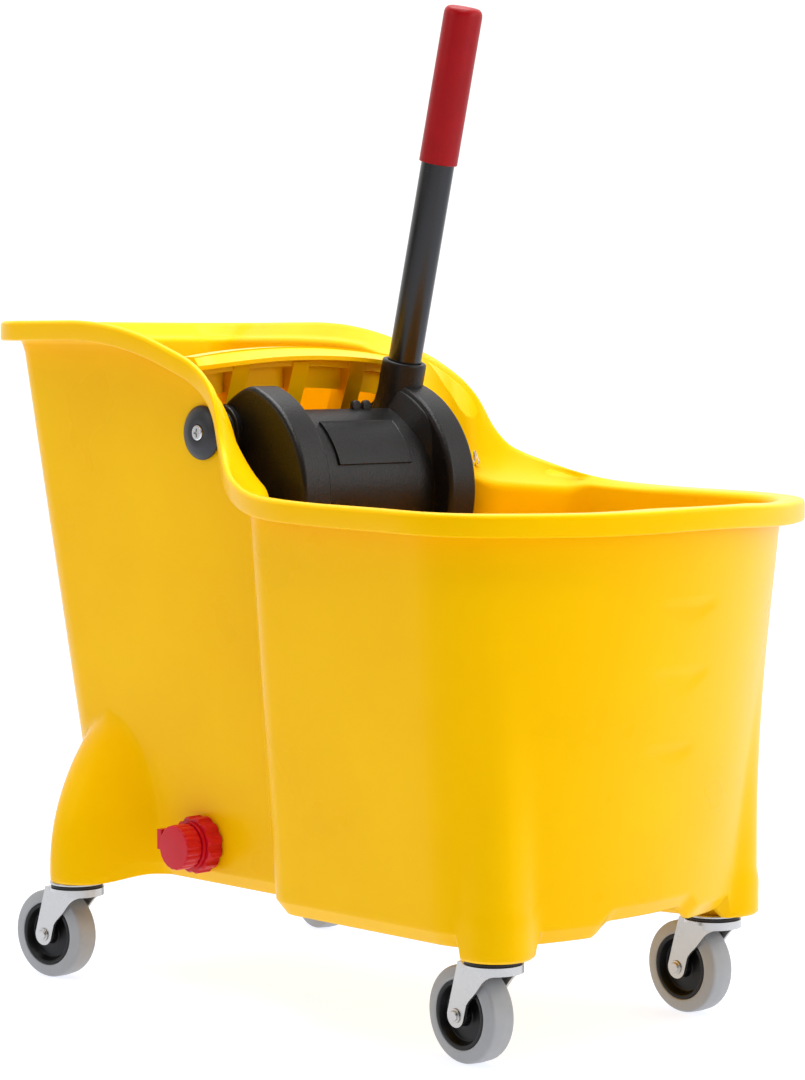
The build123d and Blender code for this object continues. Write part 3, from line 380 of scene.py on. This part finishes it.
def make_finish(name, light, dark, patch, grain, relief, gloss, settings):
    """A material with faint patches of colour, a surface grain and gloss that varies with the patches.
    Patch, grain and relief are in millimetres; gloss is the roughness at its smoothest and dullest."""
    material = bpy.data.materials.new(name)
    material.use_nodes = True
    tree = material.node_tree
    tree.nodes.clear()
    place = add(tree, "ShaderNodeTexCoord", {}, {}).outputs["Object"]
    cloud = add(tree, "ShaderNodeTexNoise", {}, {
        "Vector": place, "Scale": 1 / (patch * MM), "Detail": 3.0, "Roughness": 0.55,
    }).outputs["Fac"]
    colour = add(tree, "ShaderNodeValToRGB", {}, {"Fac": cloud})
    for stop, shade, at in zip(colour.color_ramp.elements, (dark, light), (CLOUD_LOW, CLOUD_HIGH)):
        stop.position = at
        stop.color = linear(shade)
    rough = add(tree, "ShaderNodeMapRange", {}, {
        "Value": cloud, "From Min": CLOUD_LOW, "From Max": CLOUD_HIGH,
        "To Min": gloss[0], "To Max": gloss[1],
    })
    fine = add(tree, "ShaderNodeTexNoise", {}, {
        "Vector": place, "Scale": 1 / (grain * MM), "Detail": 2.0, "Roughness": 0.5,
    })
    bump = add(tree, "ShaderNodeBump", {}, {
        "Height": fine.outputs["Fac"], "Strength": 0.6, "Distance": relief * MM,
    })
    shader = add(tree, "ShaderNodeBsdfPrincipled", {}, {
        "Base Color": colour.outputs["Color"], "Roughness": rough.outputs["Result"],
        "Normal": bump.outputs["Normal"], **settings,
    })
    add(tree, "ShaderNodeOutputMaterial", {}, {"Surface": shader.outputs["BSDF"]})
    return material


def make_piece(name, shape, material, body, nodes):
    """Turns a bmesh into a smooth piece that rides on a body and stands for its nodes."""
    bmesh.ops.recalc_face_normals(shape, faces=shape.faces)
    mesh = bpy.data.meshes.new(name)
    shape.to_mesh(mesh)
    shape.free()
    mesh.shade_smooth()
    mesh.materials.append(material)
    piece = bpy.data.objects.new(name, mesh)
    bpy.context.scene.collection.objects.link(piece)
    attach(piece, body)
    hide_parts(*nodes)
    return piece


# Moulded polyethylene is a waxy, slightly uneven satin, faintly lighter where it is thin, and its sheen
# takes some colour from the pigment just under the surface.
yellow = make_finish(
    "moulded_yellow_polyethylene", "#FBC200", "#F7BC00", 90.0, 1.6, 0.012, (0.26, 0.34),
    {"IOR": 1.51, "Specular IOR Level": 0.2, "Specular Tint": linear("#FFCE48"), "Subsurface Weight": 0.1,
     "Subsurface Radius": (0.6, 0.3, 0.02), "Subsurface Scale": 0.006},
)

places = []
for part_name, count in PARTS:
    power = SIDE_CROWDING if part_name == "side" else 1.0
    places += [(part_name, (i / count) ** power) for i in range(count)]
places.append(("nose", 1.0))
sections = [body_section(place) for place in places]
rounds, levels = len(sections) - 1, len(sections[0]) - 1

# rows and reach of the flange where it sweeps down, smoothed so that its fold flows
FLANGE_ROWS, FLANGE_X, FLANGE_PASSES = (24, 31), (-125.0, 120.0), 40
# posts on the floor over the caster stems
POST_AT = ((-183.0, 127.0), (211.0, 106.5))
POST_R, POST_TOP, POST_EASE = 13.0, 117.0, 2.0
flange = []
body_shape = bmesh.new()
bmesh.ops.create_grid(body_shape, x_segments=rounds, y_segments=levels, size=0.5)
for vert in body_shape.verts:
    across, along = round((vert.co.x + 0.5) * rounds), round((vert.co.y + 0.5) * levels)
    vert.co = sections[across][along]
    if across in (0, rounds):
        vert.co.y = 0.0
    if FLANGE_ROWS[0] <= along <= FLANGE_ROWS[1] and FLANGE_X[0] < vert.co.x / MM < FLANGE_X[1]:
        flange.append(vert)
for _ in range(FLANGE_PASSES):
    bmesh.ops.smooth_vert(body_shape, verts=flange, factor=0.5,
                          use_axis_x=True, use_axis_y=True, use_axis_z=True)
bmesh.ops.mirror(body_shape, geom=body_shape.verts[:] + body_shape.edges[:] + body_shape.faces[:],
                 axis="Y", merge_dist=0.01 * MM)
bmesh.ops.holes_fill(body_shape, edges=body_shape.edges[:], sides=0)
for post_x, post_y in POST_AT:
    for side in (-1, 1):
        middle = Vector((post_x, side * post_y, (FOOT_Z + POST_TOP) / 2)) * MM
        post = bmesh.ops.create_cone(body_shape, cap_ends=True, segments=48, radius1=POST_R * MM,
                                     radius2=POST_R * MM, depth=(POST_TOP - FOOT_Z) * MM,
                                     matrix=Matrix.Translation(middle))["verts"]
        top = {e for v in post for e in v.link_edges if all(end.co.z > middle.z for end in e.verts)}
        bmesh.ops.bevel(body_shape, geom=list(top), offset=POST_EASE * MM, segments=4, profile=0.5,
                        affect="EDGES", material=-1)
make_piece("bucket", body_shape, yellow, "bucket", ["bucket_body"])

# Wringer grate
# The same yellow polyethylene, moulded with an arched lip, slots and ribs, and snapped in across the
# bucket. Its edges are eased by the mould.


def eased_copy(shape, node, width, segments, crisp=35):
    """A copy of a node's mesh with its flat faces joined up and its crisp edges eased."""
    copy = bmesh.new()
    copy.from_mesh(frame["nodes"][node].data)
    bmesh.ops.remove_doubles(copy, verts=copy.verts[:], dist=0.004 * MM)
    bmesh.ops.dissolve_limit(copy, angle_limit=math.radians(0.6), verts=copy.verts[:], edges=copy.edges[:])
    sharp = [e for e in copy.edges if e.is_manifold and e.calc_face_angle(0) > math.radians(crisp)]
    bmesh.ops.bevel(copy, geom=sharp, offset=width * MM, segments=segments, profile=0.5,
                    affect="EDGES", clamp_overlap=True, material=-1)
    mesh = bpy.data.meshes.new(node + "_copy")
    copy.to_mesh(mesh)
    copy.free()
    shape.from_mesh(mesh)
    bpy.data.meshes.remove(mesh)


def slice_up(shape, axis, places):
    """Adds rows of vertices across a shape, at each place on both sides of the middle."""
    for place in places:
        for side in (-1, 1):
            bmesh.ops.bisect_plane(shape, geom=shape.verts[:] + shape.edges[:] + shape.faces[:],
                                   dist=0.01 * MM, plane_co=Vector(axis) * side * place * MM, plane_no=axis)


def weigh_normals(piece):
    """Keeps broad flat faces flat beside their eased edges."""
    modifier = piece.modifiers.new("flat_faces", "WEIGHTED_NORMAL")
    modifier.mode = "FACE_AREA"
    modifier.weight = 60


SHELF_BACK, SHELF_RUN, SHELF_RISE, SHELF_LOW = -86.5, 18.5, 1.8, 430.0
SHELF_LEVEL, SHELF_STRAIGHT, SHELF_CURVE, SHELF_PULL = 0.12, 55.0, 44.0, 0.65
SHELF_SLICES = (55, 63, 70, 76, 82, 87, 92, 96)
grate_shape = bmesh.new()
eased_copy(grate_shape, "wringer_grate", 1.4, 3)
slice_up(grate_shape, (0, 1, 0), SHELF_SLICES)
for vert in grate_shape.verts:
    ahead = (vert.co.x / MM - SHELF_BACK) / SHELF_RUN
    if vert.co.z > SHELF_LOW * MM and ahead > SHELF_LEVEL:
        pull = SHELF_PULL * (max(abs(vert.co.y) / MM - SHELF_STRAIGHT, 0.0) / SHELF_CURVE) ** 2
        vert.co += Vector((-SHELF_RUN * pull, 0, SHELF_RISE)) * ahead * MM
grate = make_piece("grate", grate_shape, yellow, "bucket", ["wringer_grate"])
weigh_normals(grate)

# Press
# One moulding in black glass-filled polypropylene: two thick cheeks, a saddle between them, a flat
# plate behind that squeezes the mop, hubs to the side walls and a socket for the handle.
DRUM = (-66.5, 351.0)
PIVOT = (-70.5, 393.0)
CHEEK_R, CHEEK_IN, CHEEK_OUT, CHEEK_EASE, CHEEK_BLEND = 78.0, 57.0, 83.0, 6.0, 16.0
CHEEK_BACK = ((-90.5, 398.0), (-71.5, 275.0))
CREST = ((-66.0, 417.0), (38.5, 27.5))
SADDLE_R, SADDLE_EASE = 61.0, 2.0
PLATE_BACK = ((-45.5, 411.0), (-71.5, 285.0))
FLANK = ((59.0, 49.0), (61.5, 50.0), (74.0, 56.0), (76.5, 60.0), (59.0, 62.0))
FLANK_NARROWS, FLANK_FROM, FLANK_OVER = 7.0, 50.0, 35.0
HUB = ((0, 80), (19.5, 80), (19.5, 88), (16, 88.4), (16, 97.8), (7.2, 97.8), (7.2, 90))
LEAN = math.radians(13.6)
HANDLE = Vector((-47.5, 68.0, 441.0))
ALONG = Vector((math.sin(LEAN), 0.0, math.cos(LEAN)))


def cut(shape, verts, point, normal):
    """Removes what lies beyond a plane in side view."""
    geometry = set(verts)
    for vert in verts:
        geometry.update(vert.link_edges)
        geometry.update(vert.link_faces)
    bmesh.ops.bisect_plane(shape, geom=list(geometry), dist=0.001 * MM, clear_outer=True,
                           plane_co=Vector((point[0], 0, point[1])) * MM,
                           plane_no=(normal[0], 0, normal[1]))


def slice_between(radius, cuts, y_from, y_to, blend, edge_ease):
    """A round slice about the drum axis, flattened by its cuts with a blend, and eased at its edges."""
    shape = bmesh.new()
    bmesh.ops.create_circle(shape, cap_ends=True, segments=240, radius=radius * MM)
    if blend:
        for vert in shape.verts:
            way, reach = vert.co.xy.normalized(), radius
            for point, normal in cuts:
                facing = way.dot(Vector(normal).normalized())
                if facing > 0.05:
                    limit = (Vector(point) - Vector(DRUM)).dot(Vector(normal).normalized()) / facing
                    reach = -smooth_max(-reach, -limit, blend)
            vert.co = way.to_3d() * reach * MM
    centre = Vector((DRUM[0], y_from, DRUM[1])) * MM
    upright = Matrix.Translation(centre) @ Matrix.Rotation(math.pi / 2, 4, "X")
    bmesh.ops.transform(shape, matrix=upright, verts=shape.verts[:])
    if not blend:
        for point, normal in cuts:
            cut(shape, shape.verts[:], point, normal)
    out = bmesh.ops.extrude_face_region(shape, geom=shape.faces[:])["geom"]
    moved = [g for g in out if isinstance(g, bmesh.types.BMVert)]
    bmesh.ops.translate(shape, vec=(0, (y_to - y_from) * MM, 0), verts=moved)
    bmesh.ops.recalc_face_normals(shape, faces=shape.faces)
    rim = [e for e in shape.edges if e.calc_face_angle(0) > math.radians(60)]
    bmesh.ops.bevel(shape, geom=rim, offset=edge_ease * MM, segments=6, profile=0.5,
                    affect="EDGES", clamp_overlap=True, material=-1)
    return shape


def join_into(target, shape):
    """Adds a shape to the one it is part of."""
    mesh = bpy.data.meshes.new("joined")
    bmesh.ops.recalc_face_normals(shape, faces=shape.faces)
    shape.to_mesh(mesh)
    shape.free()
    target.from_mesh(mesh)
    bpy.data.meshes.remove(mesh)


def turned(target, profile, origin, axis, steps=96):
    """Adds a shape turned about an axis; the profile is (radius, distance along it) in millimetres."""
    shape = bmesh.new()
    along = Vector(axis).normalized()
    out = along.orthogonal().normalized()
    start = Vector(origin)
    verts = [shape.verts.new((start + out * r + along * d) * MM) for r, d in profile]
    edges = [shape.edges.new(pair) for pair in zip(verts, verts[1:])]
    bmesh.ops.spin(shape, geom=verts + edges, cent=start * MM, axis=along, angle=2 * math.pi,
                   steps=steps, use_merge=True)
    bmesh.ops.remove_doubles(shape, verts=shape.verts[:], dist=0.001 * MM)
    join_into(target, shape)


def rounded(points, radius, steps=4):
    """The profile with each inner corner rounded off, so that it catches light."""
    result = [points[0]]
    for before, corner, after in zip(points, points[1:], points[2:]):
        a, b, c = Vector(before), Vector(corner), Vector(after)
        reach = min(radius, 0.45 * (a - b).length, 0.45 * (c - b).length)
        one, two = b + (a - b).normalized() * reach, b + (c - b).normalized() * reach
        for i in range(steps + 1):
            t = i / steps
            result.append(tuple(one * (1 - t) ** 2 + b * 2 * t * (1 - t) + two * t ** 2))
    result.append(points[-1])
    return result


# The grain of the mould shows as a fine sparkle; it is drawn at 1.6 mm, coarser than the real 0.2 mm.
black_plastic = make_finish(
    "grained_black_polypropylene", "#141211", "#0D0C0B", 40.0, 1.6, 0.4, (0.32, 0.42),
    {"IOR": 1.5, "Specular IOR Level": 0.3},
)

back_slope = Vector((CHEEK_BACK[1][0] - CHEEK_BACK[0][0], CHEEK_BACK[1][1] - CHEEK_BACK[0][1]))
plate_slope = Vector((PLATE_BACK[1][0] - PLATE_BACK[0][0], PLATE_BACK[1][1] - PLATE_BACK[0][1]))
cheek_cuts = (
    (CHEEK_BACK[0], (back_slope.y, -back_slope.x)),
    (CREST[0], (-CREST[1][1], CREST[1][0])),
)
plate_cut = (PLATE_BACK[0], (plate_slope.y, -plate_slope.x))

press_shape = bmesh.new()
for side in (-1, 1):
    cheek = slice_between(CHEEK_R, cheek_cuts, side * CHEEK_IN, side * CHEEK_OUT, CHEEK_BLEND, CHEEK_EASE)
    join_into(press_shape, cheek)
join_into(press_shape, slice_between(SADDLE_R, (plate_cut,), -CHEEK_IN - 1, CHEEK_IN + 1, 0, SADDLE_EASE))
for side in (-1, 1):
    ring = bmesh.new()
    turned(ring, rounded(FLANK + FLANK[:1], 1.5), (DRUM[0], 0, DRUM[1]), (0, side, 0), 128)
    for vert in ring.verts:
        angle = math.degrees(math.atan2(vert.co.z / MM - DRUM[1], vert.co.x / MM - DRUM[0]))
        vert.co.y += side * FLANK_NARROWS * ease((FLANK_FROM - angle) / FLANK_OVER) * MM
    cut(ring, ring.verts[:], *plate_cut)
    open_edges = [e for e in ring.edges if e.is_boundary]
    bmesh.ops.holes_fill(ring, edges=open_edges, sides=0)
    join_into(press_shape, ring)
    turned(press_shape, rounded(HUB, 1.2), (PIVOT[0], 0, PIVOT[1]), (0, side, 0))
SOCKET_LOW, SOCKET_TOP = -72.0, 1.0
socket = rounded((
    (0, SOCKET_LOW), (20, SOCKET_LOW), (21, -50), (17.6, -36), (16, -22), (16, SOCKET_TOP),
    (12.0, SOCKET_TOP), (12.0, -20),
), 1.8)
turned(press_shape, socket, HANDLE, ALONG)
PAD_TURN, PAD_SIZE, PAD_PROUD, PAD_Y = math.radians(35.5), (36.0, 70.0, 5.4), 1.9, 2.0
PAD_FRAME, PAD_SUNK, PAD_EASE, PAD_SLICES = 1.8, 0.7, 0.5, (2, 5, 8, 11, 14)
pad = bmesh.new()
bmesh.ops.create_cube(pad, size=MM)
bmesh.ops.scale(pad, vec=PAD_SIZE, verts=pad.verts[:])
face = max(pad.faces, key=lambda f: f.normal.z)
bmesh.ops.inset_region(pad, faces=[face], thickness=PAD_FRAME * MM, depth=-PAD_SUNK * MM)
bmesh.ops.bevel(pad, geom=pad.edges[:], offset=PAD_EASE * MM, segments=2, profile=0.5, affect="EDGES",
                material=-1)
slice_up(pad, (1, 0, 0), PAD_SLICES)
for vert in pad.verts:
    along, across, out = vert.co / MM
    turn = PAD_TURN - along / SADDLE_R
    reach = SADDLE_R + PAD_PROUD + out - PAD_SIZE[2] / 2
    side_view = on_arc(DRUM, reach, math.degrees(turn))
    vert.co = Vector((side_view[0], across + PAD_Y, side_view[1])) * MM
join_into(press_shape, pad)
GUSSET_X, GUSSET_Y, GUSSET_Z = -45.5, (17.5, 27.5), 410.0
GUSSET_PROFILE = ((0, -2), (4.3, -2), (4.3, 2), (0, 2))
for gusset_y in GUSSET_Y:
    turned(press_shape, rounded(GUSSET_PROFILE, 1.2), (GUSSET_X, gusset_y, GUSSET_Z), (1, 0, 0), 32)
press = make_piece("press", press_shape, black_plastic, "press", ["press_body"])
weigh_normals(press)

# Pivot caps and screws
# Black plastic caps whose shanks carry the press in the side walls, each held by one bright
# cross-head screw.
CAP_SEAT = 102.9
RECESS_R, RECESS_FLOOR, RECESS_DEEPER = 3.3, (104.6, 107.0), 4.5
CAP_PROFILE = rounded((
    (0, 84.2), (6.97, 84.2), (6.97, CAP_SEAT), (18.8, CAP_SEAT), (18.8, CAP_SEAT + 1.8),
    (15.5, CAP_SEAT + 3.9), (10.5, CAP_SEAT + 5.1), (5.6, CAP_SEAT + 5.2), (5.6, CAP_SEAT + 3.6),
    (0, CAP_SEAT + 3.6),
), 1.6)
# Smooth nylon is an even satin black.
smooth_black = make_finish(
    "smooth_black_nylon", "#1A1919", "#131212", 30.0, 1.2, 0.008, (0.34, 0.42), {"IOR": 1.53},
)
# Nickel-plated steel screws are bright, with a little swirl left from polishing.
bright_steel = make_finish(
    "nickel_plated_steel", "#D8D6D2", "#C4C2BE", 6.0, 0.5, 0.004, (0.18, 0.3), {"Metallic": 1.0},
)
for name, side in (("near", -1), ("far", 1)):
    cap_shape = bmesh.new()
    turned(cap_shape, CAP_PROFILE, (PIVOT[0], 0, PIVOT[1]), (0, side, 0))
    make_piece("pivot_cap." + name, cap_shape, smooth_black, "press", ["pivot_cap_" + name])
    screw_shape = bmesh.new()
    eased_copy(screw_shape, "pivot_screw_" + name, 0.18, 2, 50)
    for vert in screw_shape.verts:
        off_axis = math.hypot(vert.co.x / MM - PIVOT[0], vert.co.z / MM - PIVOT[1])
        if off_axis < RECESS_R and RECESS_FLOOR[0] < abs(vert.co.y) / MM < RECESS_FLOOR[1]:
            vert.co.y -= side * RECESS_DEEPER * MM
    screw = make_piece("pivot_screw." + name, screw_shape, bright_steel, "press", ["pivot_screw_" + name])
    weigh_normals(screw)

# Handle
# A welded steel tube in black powder coat, pushed into the press socket, with a red vinyl grip dipped
# over its upper end and rounded at the top.
TUBE_R, TUBE_BORE_R, TUBE_FOOT_Z = 11.9, 10.1, 376.2
GRIP_R, GRIP_LEN, GRIP_TOP_Z, GRIP_THICK = 13.7, 111.0, 689.8, 3.7
GRIP_GAP, GRIP_FIT = 0.3, 0.06
grip_top = (GRIP_TOP_Z - HANDLE.z) / math.cos(LEAN)
grip_low = grip_top - GRIP_LEN
tube_top = grip_top - GRIP_THICK - GRIP_GAP
tube_foot = (TUBE_FOOT_Z - HANDLE.z) / math.cos(LEAN)
tube_shape = bmesh.new()
turned(tube_shape, rounded((
    (TUBE_BORE_R, tube_foot), (TUBE_R, tube_foot), (TUBE_R, tube_top), (TUBE_BORE_R, tube_top),
    (TUBE_BORE_R, tube_foot),
), 0.4), HANDLE, ALONG)
# Powder coat has a slight orange peel over a deep black.
powder_coat = make_finish(
    "black_powder_coated_steel", "#0C0B0B", "#080707", 50.0, 2.2, 0.02, (0.2, 0.28), {"IOR": 1.5},
)
make_piece("handle_tube.coated", tube_shape, powder_coat, "press", ["handle_tube"])
grip_shape = bmesh.new()
turned(grip_shape, rounded((
    (TUBE_R + GRIP_FIT, grip_top - GRIP_THICK), (TUBE_R + GRIP_FIT, grip_low), (GRIP_R, grip_low),
    (GRIP_R, grip_top), (0, grip_top),
), 7.5, 8), HANDLE, ALONG)
# Dipped vinyl is soft and satin, with a faint drag from the dip.
red_vinyl = make_finish(
    "dipped_red_vinyl", "#980009", "#8E0006", 24.0, 1.8, 0.02, (0.34, 0.44),
    {"IOR": 1.52, "Specular IOR Level": 0.18},
)
make_piece("handle_grip.dipped", grip_shape, red_vinyl, "press", ["handle_grip"])

# Stop clip
# A narrow strip of bright spring steel, bent to a small three-cornered loop and pushed into the far
# wall under the flange.
CLIP_AT, CLIP_TURN = Vector((-15.3, 107.0, 371.4)), math.radians(80.0)
CLIP_WIDE, CLIP_THICK = 1.2, 0.75
CLIP_LOOP = ((0.0, 5.6), (-6.3, -3.0), (0.0, -5.0))
clip_shape = bmesh.new()
bmesh.ops.create_circle(clip_shape, cap_ends=True, segments=3, radius=MM)
for vert, (out, up) in zip(clip_shape.verts, CLIP_LOOP):
    vert.co = Vector((-CLIP_WIDE / 2, out, up)) * MM
band = bmesh.ops.inset_individual(clip_shape, faces=clip_shape.faces[:], thickness=CLIP_THICK * MM)["faces"]
hole = [f for f in clip_shape.faces if f not in band]
bmesh.ops.delete(clip_shape, geom=hole, context="FACES_ONLY")
grown = bmesh.ops.extrude_face_region(clip_shape, geom=clip_shape.faces[:])["geom"]
bmesh.ops.translate(clip_shape, vec=(CLIP_WIDE * MM, 0, 0),
                    verts=[g for g in grown if isinstance(g, bmesh.types.BMVert)])
bmesh.ops.transform(clip_shape, verts=clip_shape.verts[:],
                    matrix=Matrix.Translation(CLIP_AT * MM) @ Matrix.Rotation(CLIP_TURN, 4, "Z"))
# Bright-drawn strip is pale and only half mirror-like, with marks of the drawing die.
drawn_steel = make_finish(
    "bright_drawn_spring_steel", "#E6E2DA", "#D8D4CC", 5.0, 0.6, 0.006, (0.32, 0.44), {"Metallic": 0.6},
)
clip = make_piece("stop_clip.strip", clip_shape, drawn_steel, "bucket", ["stop_clip"])
weigh_normals(clip)

# Drain
# A flanged spout through the near wall with a nut, a tether and a screw cap, all moulded in red
# polypropylene. The nut clamps the wall on a rubber gasket, and a rubber ring seals the cap.
DRAIN = (-77.5, 107.0)
DRAIN_CAP_LOW, DRAIN_CAP_HIGH, DRAIN_CAP_TOP = 112.4, 125.4, 2.4
DRAIN_CAP_R, DRAIN_CAP_BORE_R = 15.6, 12.4
FLUTES, FLUTE_DEEP, FLUTED_R = 20, 0.6, 15.0
# Moulded polypropylene in strong red, satin with a soft shine on its edges.
red_plastic = make_finish(
    "moulded_red_polypropylene", "#CC0A1E", "#C00618", 20.0, 1.4, 0.012, (0.3, 0.4),
    {"IOR": 1.5, "Specular IOR Level": 0.3},
)
for node, width in (("drain_nut", 0.9), ("drain_strap", 0.5)):
    drain_shape = bmesh.new()
    eased_copy(drain_shape, node, width, 3, 30)
    drain_piece = make_piece(node + ".eased", drain_shape, red_plastic, "bucket", [node])
    weigh_normals(drain_piece)
cap_inside = DRAIN_CAP_HIGH - DRAIN_CAP_TOP
cap_shape = bmesh.new()
turned(cap_shape, rounded((
    (0, cap_inside), (DRAIN_CAP_BORE_R, cap_inside), (DRAIN_CAP_BORE_R, DRAIN_CAP_LOW),
    (DRAIN_CAP_R, DRAIN_CAP_LOW), (DRAIN_CAP_R, DRAIN_CAP_HIGH), (0, DRAIN_CAP_HIGH),
), 1.5), (DRAIN[0], 0, DRAIN[1]), (0, -1, 0), 200)
for vert in cap_shape.verts:
    across, up = vert.co.x / MM - DRAIN[0], vert.co.z / MM - DRAIN[1]
    if math.hypot(across, up) > FLUTED_R:
        dip = FLUTE_DEEP * (0.5 + 0.5 * math.cos(FLUTES * math.atan2(up, across))) ** 2
        vert.co -= Vector((across, 0, up)).normalized() * dip * MM
make_piece("drain_cap.turned", cap_shape, red_plastic, "drain_cap", ["drain_cap"])
frame["nodes"]["drain_spout"].material_slots[0].material = red_plastic
# Seals are soft black rubber with a dusty bloom.
black_rubber = make_finish(
    "soft_black_rubber", "#1A1A1A", "#131313", 12.0, 0.9, 0.015, (0.5, 0.62), {"IOR": 1.52},
)
for node in ("drain_gasket", "drain_cap_seal"):
    frame["nodes"][node].material_slots[0].material = black_rubber

# Casters
# Four swivel casters: zinc-plated pressed forks on riveted stems, ball races with a rubber ring, and
# black nylon hubs with a grey rubber tread moulded on.
HUB_PROFILE = (
    (3.06, 10.2), (6.5, 10.2), (7.5, 5.5), (17.5, 4.5), (19.6, 10.2), (22.4, 10.2),
)
TREAD_PROFILE = ((22.42, 10.2), (24.4, 10.2), (30.6, 8.7), (31.4, 7.2), (31.75, 0.0))
# Bright zinc plate is pale and slightly blue-grey, with a soft cloudy reflection.
zinc = make_finish(
    "zinc_plated_pressed_steel", "#C4C2BE", "#B8B6B2", 30.0, 1.5, 0.002, (0.24, 0.34), {"Metallic": 1.0},
)
# Nylon hubs are a deep semi-gloss black.
hub_plastic = make_finish(
    "black_nylon_hub", "#0F0E0E", "#0A0909", 14.0, 1.0, 0.01, (0.28, 0.36),
    {"IOR": 1.53, "Specular IOR Level": 0.25},
)
# Non-marking rubber is a matt warm grey with a fine moulded skin.
grey_rubber = make_finish(
    "grey_thermoplastic_rubber", "#A5A5A4", "#9D9D9D", 16.0, 1.1, 0.02, (0.48, 0.6), {"IOR": 1.5},
)
for joint in frame["joints"]:
    if not joint["name"].endswith("_wheel_roll"):
        continue
    corner = joint["name"].removesuffix("_wheel_roll")
    centre = Vector(joint["pos_m"]) / MM
    axle = Vector(joint["axis"])
    for kind, half, material, slot in (
        ("hub", HUB_PROFILE, hub_plastic, "black_hub_plastic"),
        ("tread", TREAD_PROFILE, grey_rubber, "grey_rubber"),
    ):
        ends = half[:-1] if half[-1][1] == 0 else half
        outline = list(half) + [(r, -d) for r, d in reversed(ends)]
        start = mix(Vector(outline[0]), Vector(outline[-1]), 0.5)
        outline = [tuple(start)] + outline + [tuple(start)]
        wheel_shape = bmesh.new()
        turned(wheel_shape, rounded(outline, 0.7, 3), centre, axle, 128)
        make_piece(corner + "." + kind, wheel_shape, material, corner + "_wheel",
                   ["caster_" + corner + "_" + kind])
    for kind, width, material, slot, body in (
        ("fork", 0.55, zinc, "zinc_plated_steel", corner + "_swivel"),
        ("axle", 0.25, zinc, "zinc_plated_steel", corner + "_swivel"),
        ("seal", 0.4, black_rubber, "black_rubber", corner + "_swivel"),
        ("race", 0.3, zinc, "zinc_plated_steel", "bucket"),
    ):
        node = "caster_" + corner + "_" + kind
        part_shape = bmesh.new()
        eased_copy(part_shape, node, width, 3)
        part = make_piece(corner + "." + kind, part_shape, material, body, [node])
        weigh_normals(part)
    frame["nodes"]["caster_" + corner + "_stem"].material_slots[0].material = zinc
    frame["nodes"]["caster_" + corner + "_balls"].material_slots[0].material = bright_steel

# Floor, light and camera
# A white sweep under soft boxes, seen through a long lens from a little above the front corner.
floor_shape = bmesh.new()
bmesh.ops.create_grid(floor_shape, x_segments=2, y_segments=2, size=12.0)
floor_mesh = bpy.data.meshes.new("studio_floor")
floor_shape.to_mesh(floor_mesh)
floor_shape.free()
floor = bpy.data.objects.new("studio_floor", floor_mesh)
bpy.context.scene.collection.objects.link(floor)
# Matt paper under its own even light goes nearly white, and only the shade under the bucket shows.
white_sweep = bpy.data.materials.new("white_paper_sweep")
white_sweep.use_nodes = True
paper = white_sweep.node_tree.nodes["Principled BSDF"]
paper.inputs["Base Color"].default_value = linear("#9098A6")
paper.inputs["Roughness"].default_value = 0.9
paper.inputs["Emission Color"].default_value = linear("#F8F9FF")
paper.inputs["Emission Strength"].default_value = 0.84
floor_mesh.materials.append(white_sweep)

# The studio is white behind the bucket and dark behind the camera, so that black parts stay black.
world = bpy.data.worlds.new("white_studio")
world.use_nodes = True
room = world.node_tree
direction = add(room, "ShaderNodeTexCoord", {}, {}).outputs["Generated"]
BACKDROP = (-0.69, 0.68, 0.25)
behind = add(room, "ShaderNodeVectorMath", {"operation": "DOT_PRODUCT"}, {0: direction, 1: BACKDROP})
light = add(room, "ShaderNodeMapRange", {"interpolation_type": "SMOOTHSTEP"}, {
    "Value": behind.outputs["Value"], "From Min": -0.2, "From Max": 0.6, "To Min": 0.12, "To Max": 1.12,
})
room.links.new(light.outputs["Result"], room.nodes["Background"].inputs["Strength"])
room.nodes["Background"].inputs["Color"].default_value = linear("#FFFFFF")
bpy.context.scene.world = world
bpy.context.scene.view_settings.view_transform = "Standard"


def soft_box(name, place, aim, size, watts):
    """A rectangular lamp at a place, turned to its aim."""
    lamp = bpy.data.lights.new(name, "AREA")
    lamp.shape = "RECTANGLE"
    lamp.size, lamp.size_y = size
    lamp.energy = watts
    box = bpy.data.objects.new(name, lamp)
    box.location = place
    box.rotation_euler = (Vector(aim) - Vector(place)).to_track_quat("-Z", "Y").to_euler()
    bpy.context.scene.collection.objects.link(box)


soft_box("key_right", (1.7, 1.15, 1.3), (0.0, 0.0, 0.25), (0.9, 1.6), 14.5)
soft_box("fill_left", (-1.0, -2.4, 1.5), (0.0, 0.0, 0.3), (1.2, 1.4), 9.5)
soft_box("front_low", (2.3, 0.5, 0.85), (-0.1, 0.0, 0.4), (0.7, 0.7), 8.0)
soft_box("front_high", (1.0, -0.8, 2.6), (-0.05, 0.0, 0.35), (1.2, 1.2), 24.0)
soft_box("top", (-0.2, 0.2, 2.2), (0.0, 0.0, 0.3), (1.4, 1.4), 44.0)

CAMERA_AT = (1.5026, -1.44315, 0.45013)
CAMERA_AZIMUTH, CAMERA_DOWN, CAMERA_LENS, CAMERA_SENSOR = 45.767, 3.635, 100.0, 36.0
camera = bpy.data.objects.new("camera", bpy.data.cameras.new("camera"))
camera.data.lens = CAMERA_LENS
camera.data.sensor_width = CAMERA_SENSOR
camera.location = CAMERA_AT
camera.rotation_euler = (math.radians(90 - CAMERA_DOWN), 0.0, math.radians(CAMERA_AZIMUTH))
bpy.context.scene.collection.objects.link(camera)
bpy.context.scene.camera = camera
